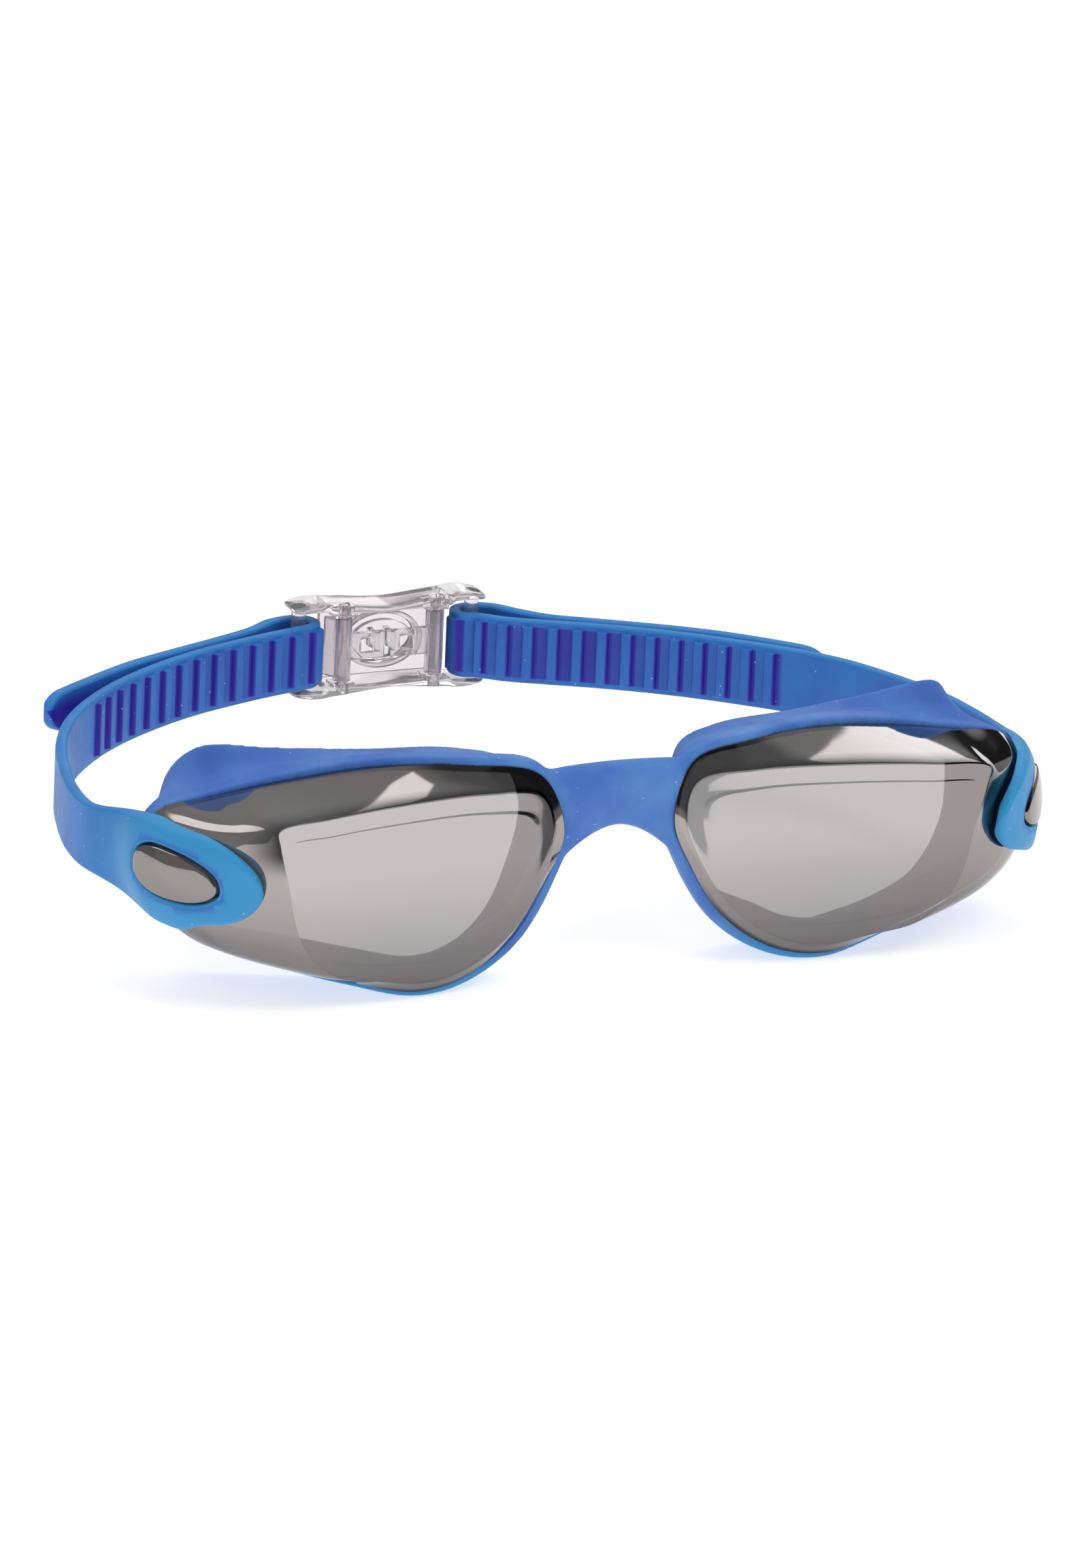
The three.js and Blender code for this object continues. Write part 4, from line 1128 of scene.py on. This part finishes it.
back = np.array(
    [
        math.sin(CAMERA_AZIMUTH) * math.cos(CAMERA_ELEVATION),
        -math.cos(CAMERA_AZIMUTH) * math.cos(CAMERA_ELEVATION),
        math.sin(CAMERA_ELEVATION),
    ]
)
level = np.array([math.cos(CAMERA_AZIMUTH), math.sin(CAMERA_AZIMUTH), 0.0])
upright = np.cross(back, level)
right = math.cos(CAMERA_ROLL) * level + math.sin(CAMERA_ROLL) * upright
above = -math.sin(CAMERA_ROLL) * level + math.cos(CAMERA_ROLL) * upright
aim = (ORIGIN + right * AIM_RIGHT + above * AIM_UP) * MM
camera_data = bpy.data.cameras.new("camera")
camera_data.sensor_width = SENSOR
camera_data.lens = SENSOR * PIXELS_PER_METRE * CAMERA_DISTANCE / IMAGE_HEIGHT
camera_data.clip_end = 50
camera = bpy.data.objects.new("camera", camera_data)
bpy.context.scene.collection.objects.link(camera)
turn = np.eye(4)
turn[:3, 0], turn[:3, 1], turn[:3, 2] = right, above, back
turn[:3, 3] = aim + back * CAMERA_DISTANCE
camera.matrix_world = Matrix(turn.tolist())
bpy.context.scene.camera = camera

FLOOR_GLOW = 0.6  # lifts the shadows on the white floor
FLOOR_REACH = 6.0
FLOOR_DROP = 0.0002  # keeps the floor clear of the lowest points


def floor():
    mesh = bpy.data.meshes.new("floor")
    corners = rectangle(-FLOOR_REACH, FLOOR_REACH, -FLOOR_REACH, FLOOR_REACH)
    mesh.from_pydata([(x, y, 0) for x, y in corners], [], [[0, 1, 2, 3]])
    obj = bpy.data.objects.new("floor", mesh)
    obj.location.z = -FLOOR_DROP
    bpy.context.scene.collection.objects.link(obj)
    n = paint("floor_paint")
    tone = n.mix(n.noise(3, 2), (0.6, 0.6, 0.605), (0.62, 0.62, 0.62))
    n.set(Base_Color=tone, Roughness=0.75, Specular_IOR_Level=0.1)
    mesh.materials.append(n.set(Emission_Color=(1, 1, 1), Emission_Strength=FLOOR_GLOW))


def softbox(name, place, size, power):
    """A light aimed at the middle of the object, which mirrors don't show."""
    data = bpy.data.lights.new(name, "AREA")
    data.shape = "RECTANGLE"
    data.size, data.size_y = size
    data.energy = power
    obj = bpy.data.objects.new(name, data)
    obj.location = place
    obj.rotation_mode = "QUATERNION"
    obj.rotation_quaternion = (-Vector(place)).to_track_quat("-Z", "Y")
    obj.visible_glossy = False
    bpy.context.scene.collection.objects.link(obj)


BACKDROP = 0.93
SOFT_LIGHT = 0.5
REFLECTED_BASE = 0.3
# Dark screens and bright windows seen in reflections: the angle they are measured by, its two ends and
# softness, the lower and upper elevation and their softness, and how bright they are.
SCREENS = [
    ("behind", 0, 360, 1, 62, 100, 14, 0.07),
    ("front", -28, 78, 14, 5, 75, 3, 0.02),
    ("behind", 138, 152, 2, -5, 13, 2, 0.02),
    ("behind", 148, 157, 1, 12, 50, 1.5, 1.9),
    ("behind", 180, 210, 2, 36, 55, 2, 1.8),
]


def studio():
    """Pale to the camera, even light on matt faces, and dark screens and bright windows in reflections."""
    world = bpy.data.worlds.new("studio")
    bpy.context.scene.world = world
    n = Nodes(world)
    n.tree.nodes.clear()

    def within(value, low, high, soft):
        """1 where the angle lies between low and high degrees, fading over soft degrees."""
        ends = []
        for start, end in ((low - soft, low), (high + soft, high)):
            made = n.node("ShaderNodeMapRange", Value=value, From_Min=start, From_Max=end)
            made.interpolation_type = "SMOOTHSTEP"
            ends.append(made.outputs["Result"])
        return n.maths("MULTIPLY", *ends)

    def background(strength):
        return n.node("ShaderNodeBackground", Strength=strength, Color=(1, 1, 1)).outputs[0]

    def choose(factor, first, second):
        made = n.tree.nodes.new("ShaderNodeMixShader")
        for socket, value in zip(made.inputs, (factor, first, second)):
            feed(n.tree, socket, value)
        return made.outputs[0]

    parts = n.node("ShaderNodeSeparateXYZ", Vector=n.node("ShaderNodeTexCoord").outputs["Generated"])
    x, y, z = parts.outputs
    azimuth = n.maths("DEGREES", n.maths("ARCTAN2", x, n.maths("MULTIPLY", y, -1.0)))  # 0 in front, 90 at +X
    full_turn = n.maths("MULTIPLY", n.maths("LESS_THAN", azimuth, 0.0), 360.0)
    angles = {"front": azimuth, "behind": n.maths("ADD", azimuth, full_turn)}  # behind counts from 0 to 360
    elevation = n.maths("DEGREES", n.maths("ARCSINE", z))
    reflected = REFLECTED_BASE
    for angle, low, high, soft, bottom, top, edge, level in SCREENS:
        sideways = within(angles[angle], low, high, soft)
        mask = n.maths("MULTIPLY", sideways, within(elevation, bottom, top, edge))
        keep = n.maths("MULTIPLY", n.maths("SUBTRACT", 1.0, mask), reflected)
        reflected = n.maths("ADD", keep, n.maths("MULTIPLY", mask, level))
    path = n.node("ShaderNodeLightPath")
    shader = choose(path.outputs["Is Glossy Ray"], background(SOFT_LIGHT), background(reflected))
    shader = choose(path.outputs["Is Camera Ray"], shader, background(BACKDROP))
    n.node("ShaderNodeOutputWorld", Surface=shader)


floor()
studio()
softbox("key", (0.9, -1.2, 1.9), (1.0, 1.0), 19)
softbox("fill", (-1.6, -0.9, 1.2), (1.0, 1.4), 9)
softbox("top", (0.1, 0.7, 2.0), (1.4, 0.8), 12)
bpy.context.scene.view_settings.view_transform = "Standard"
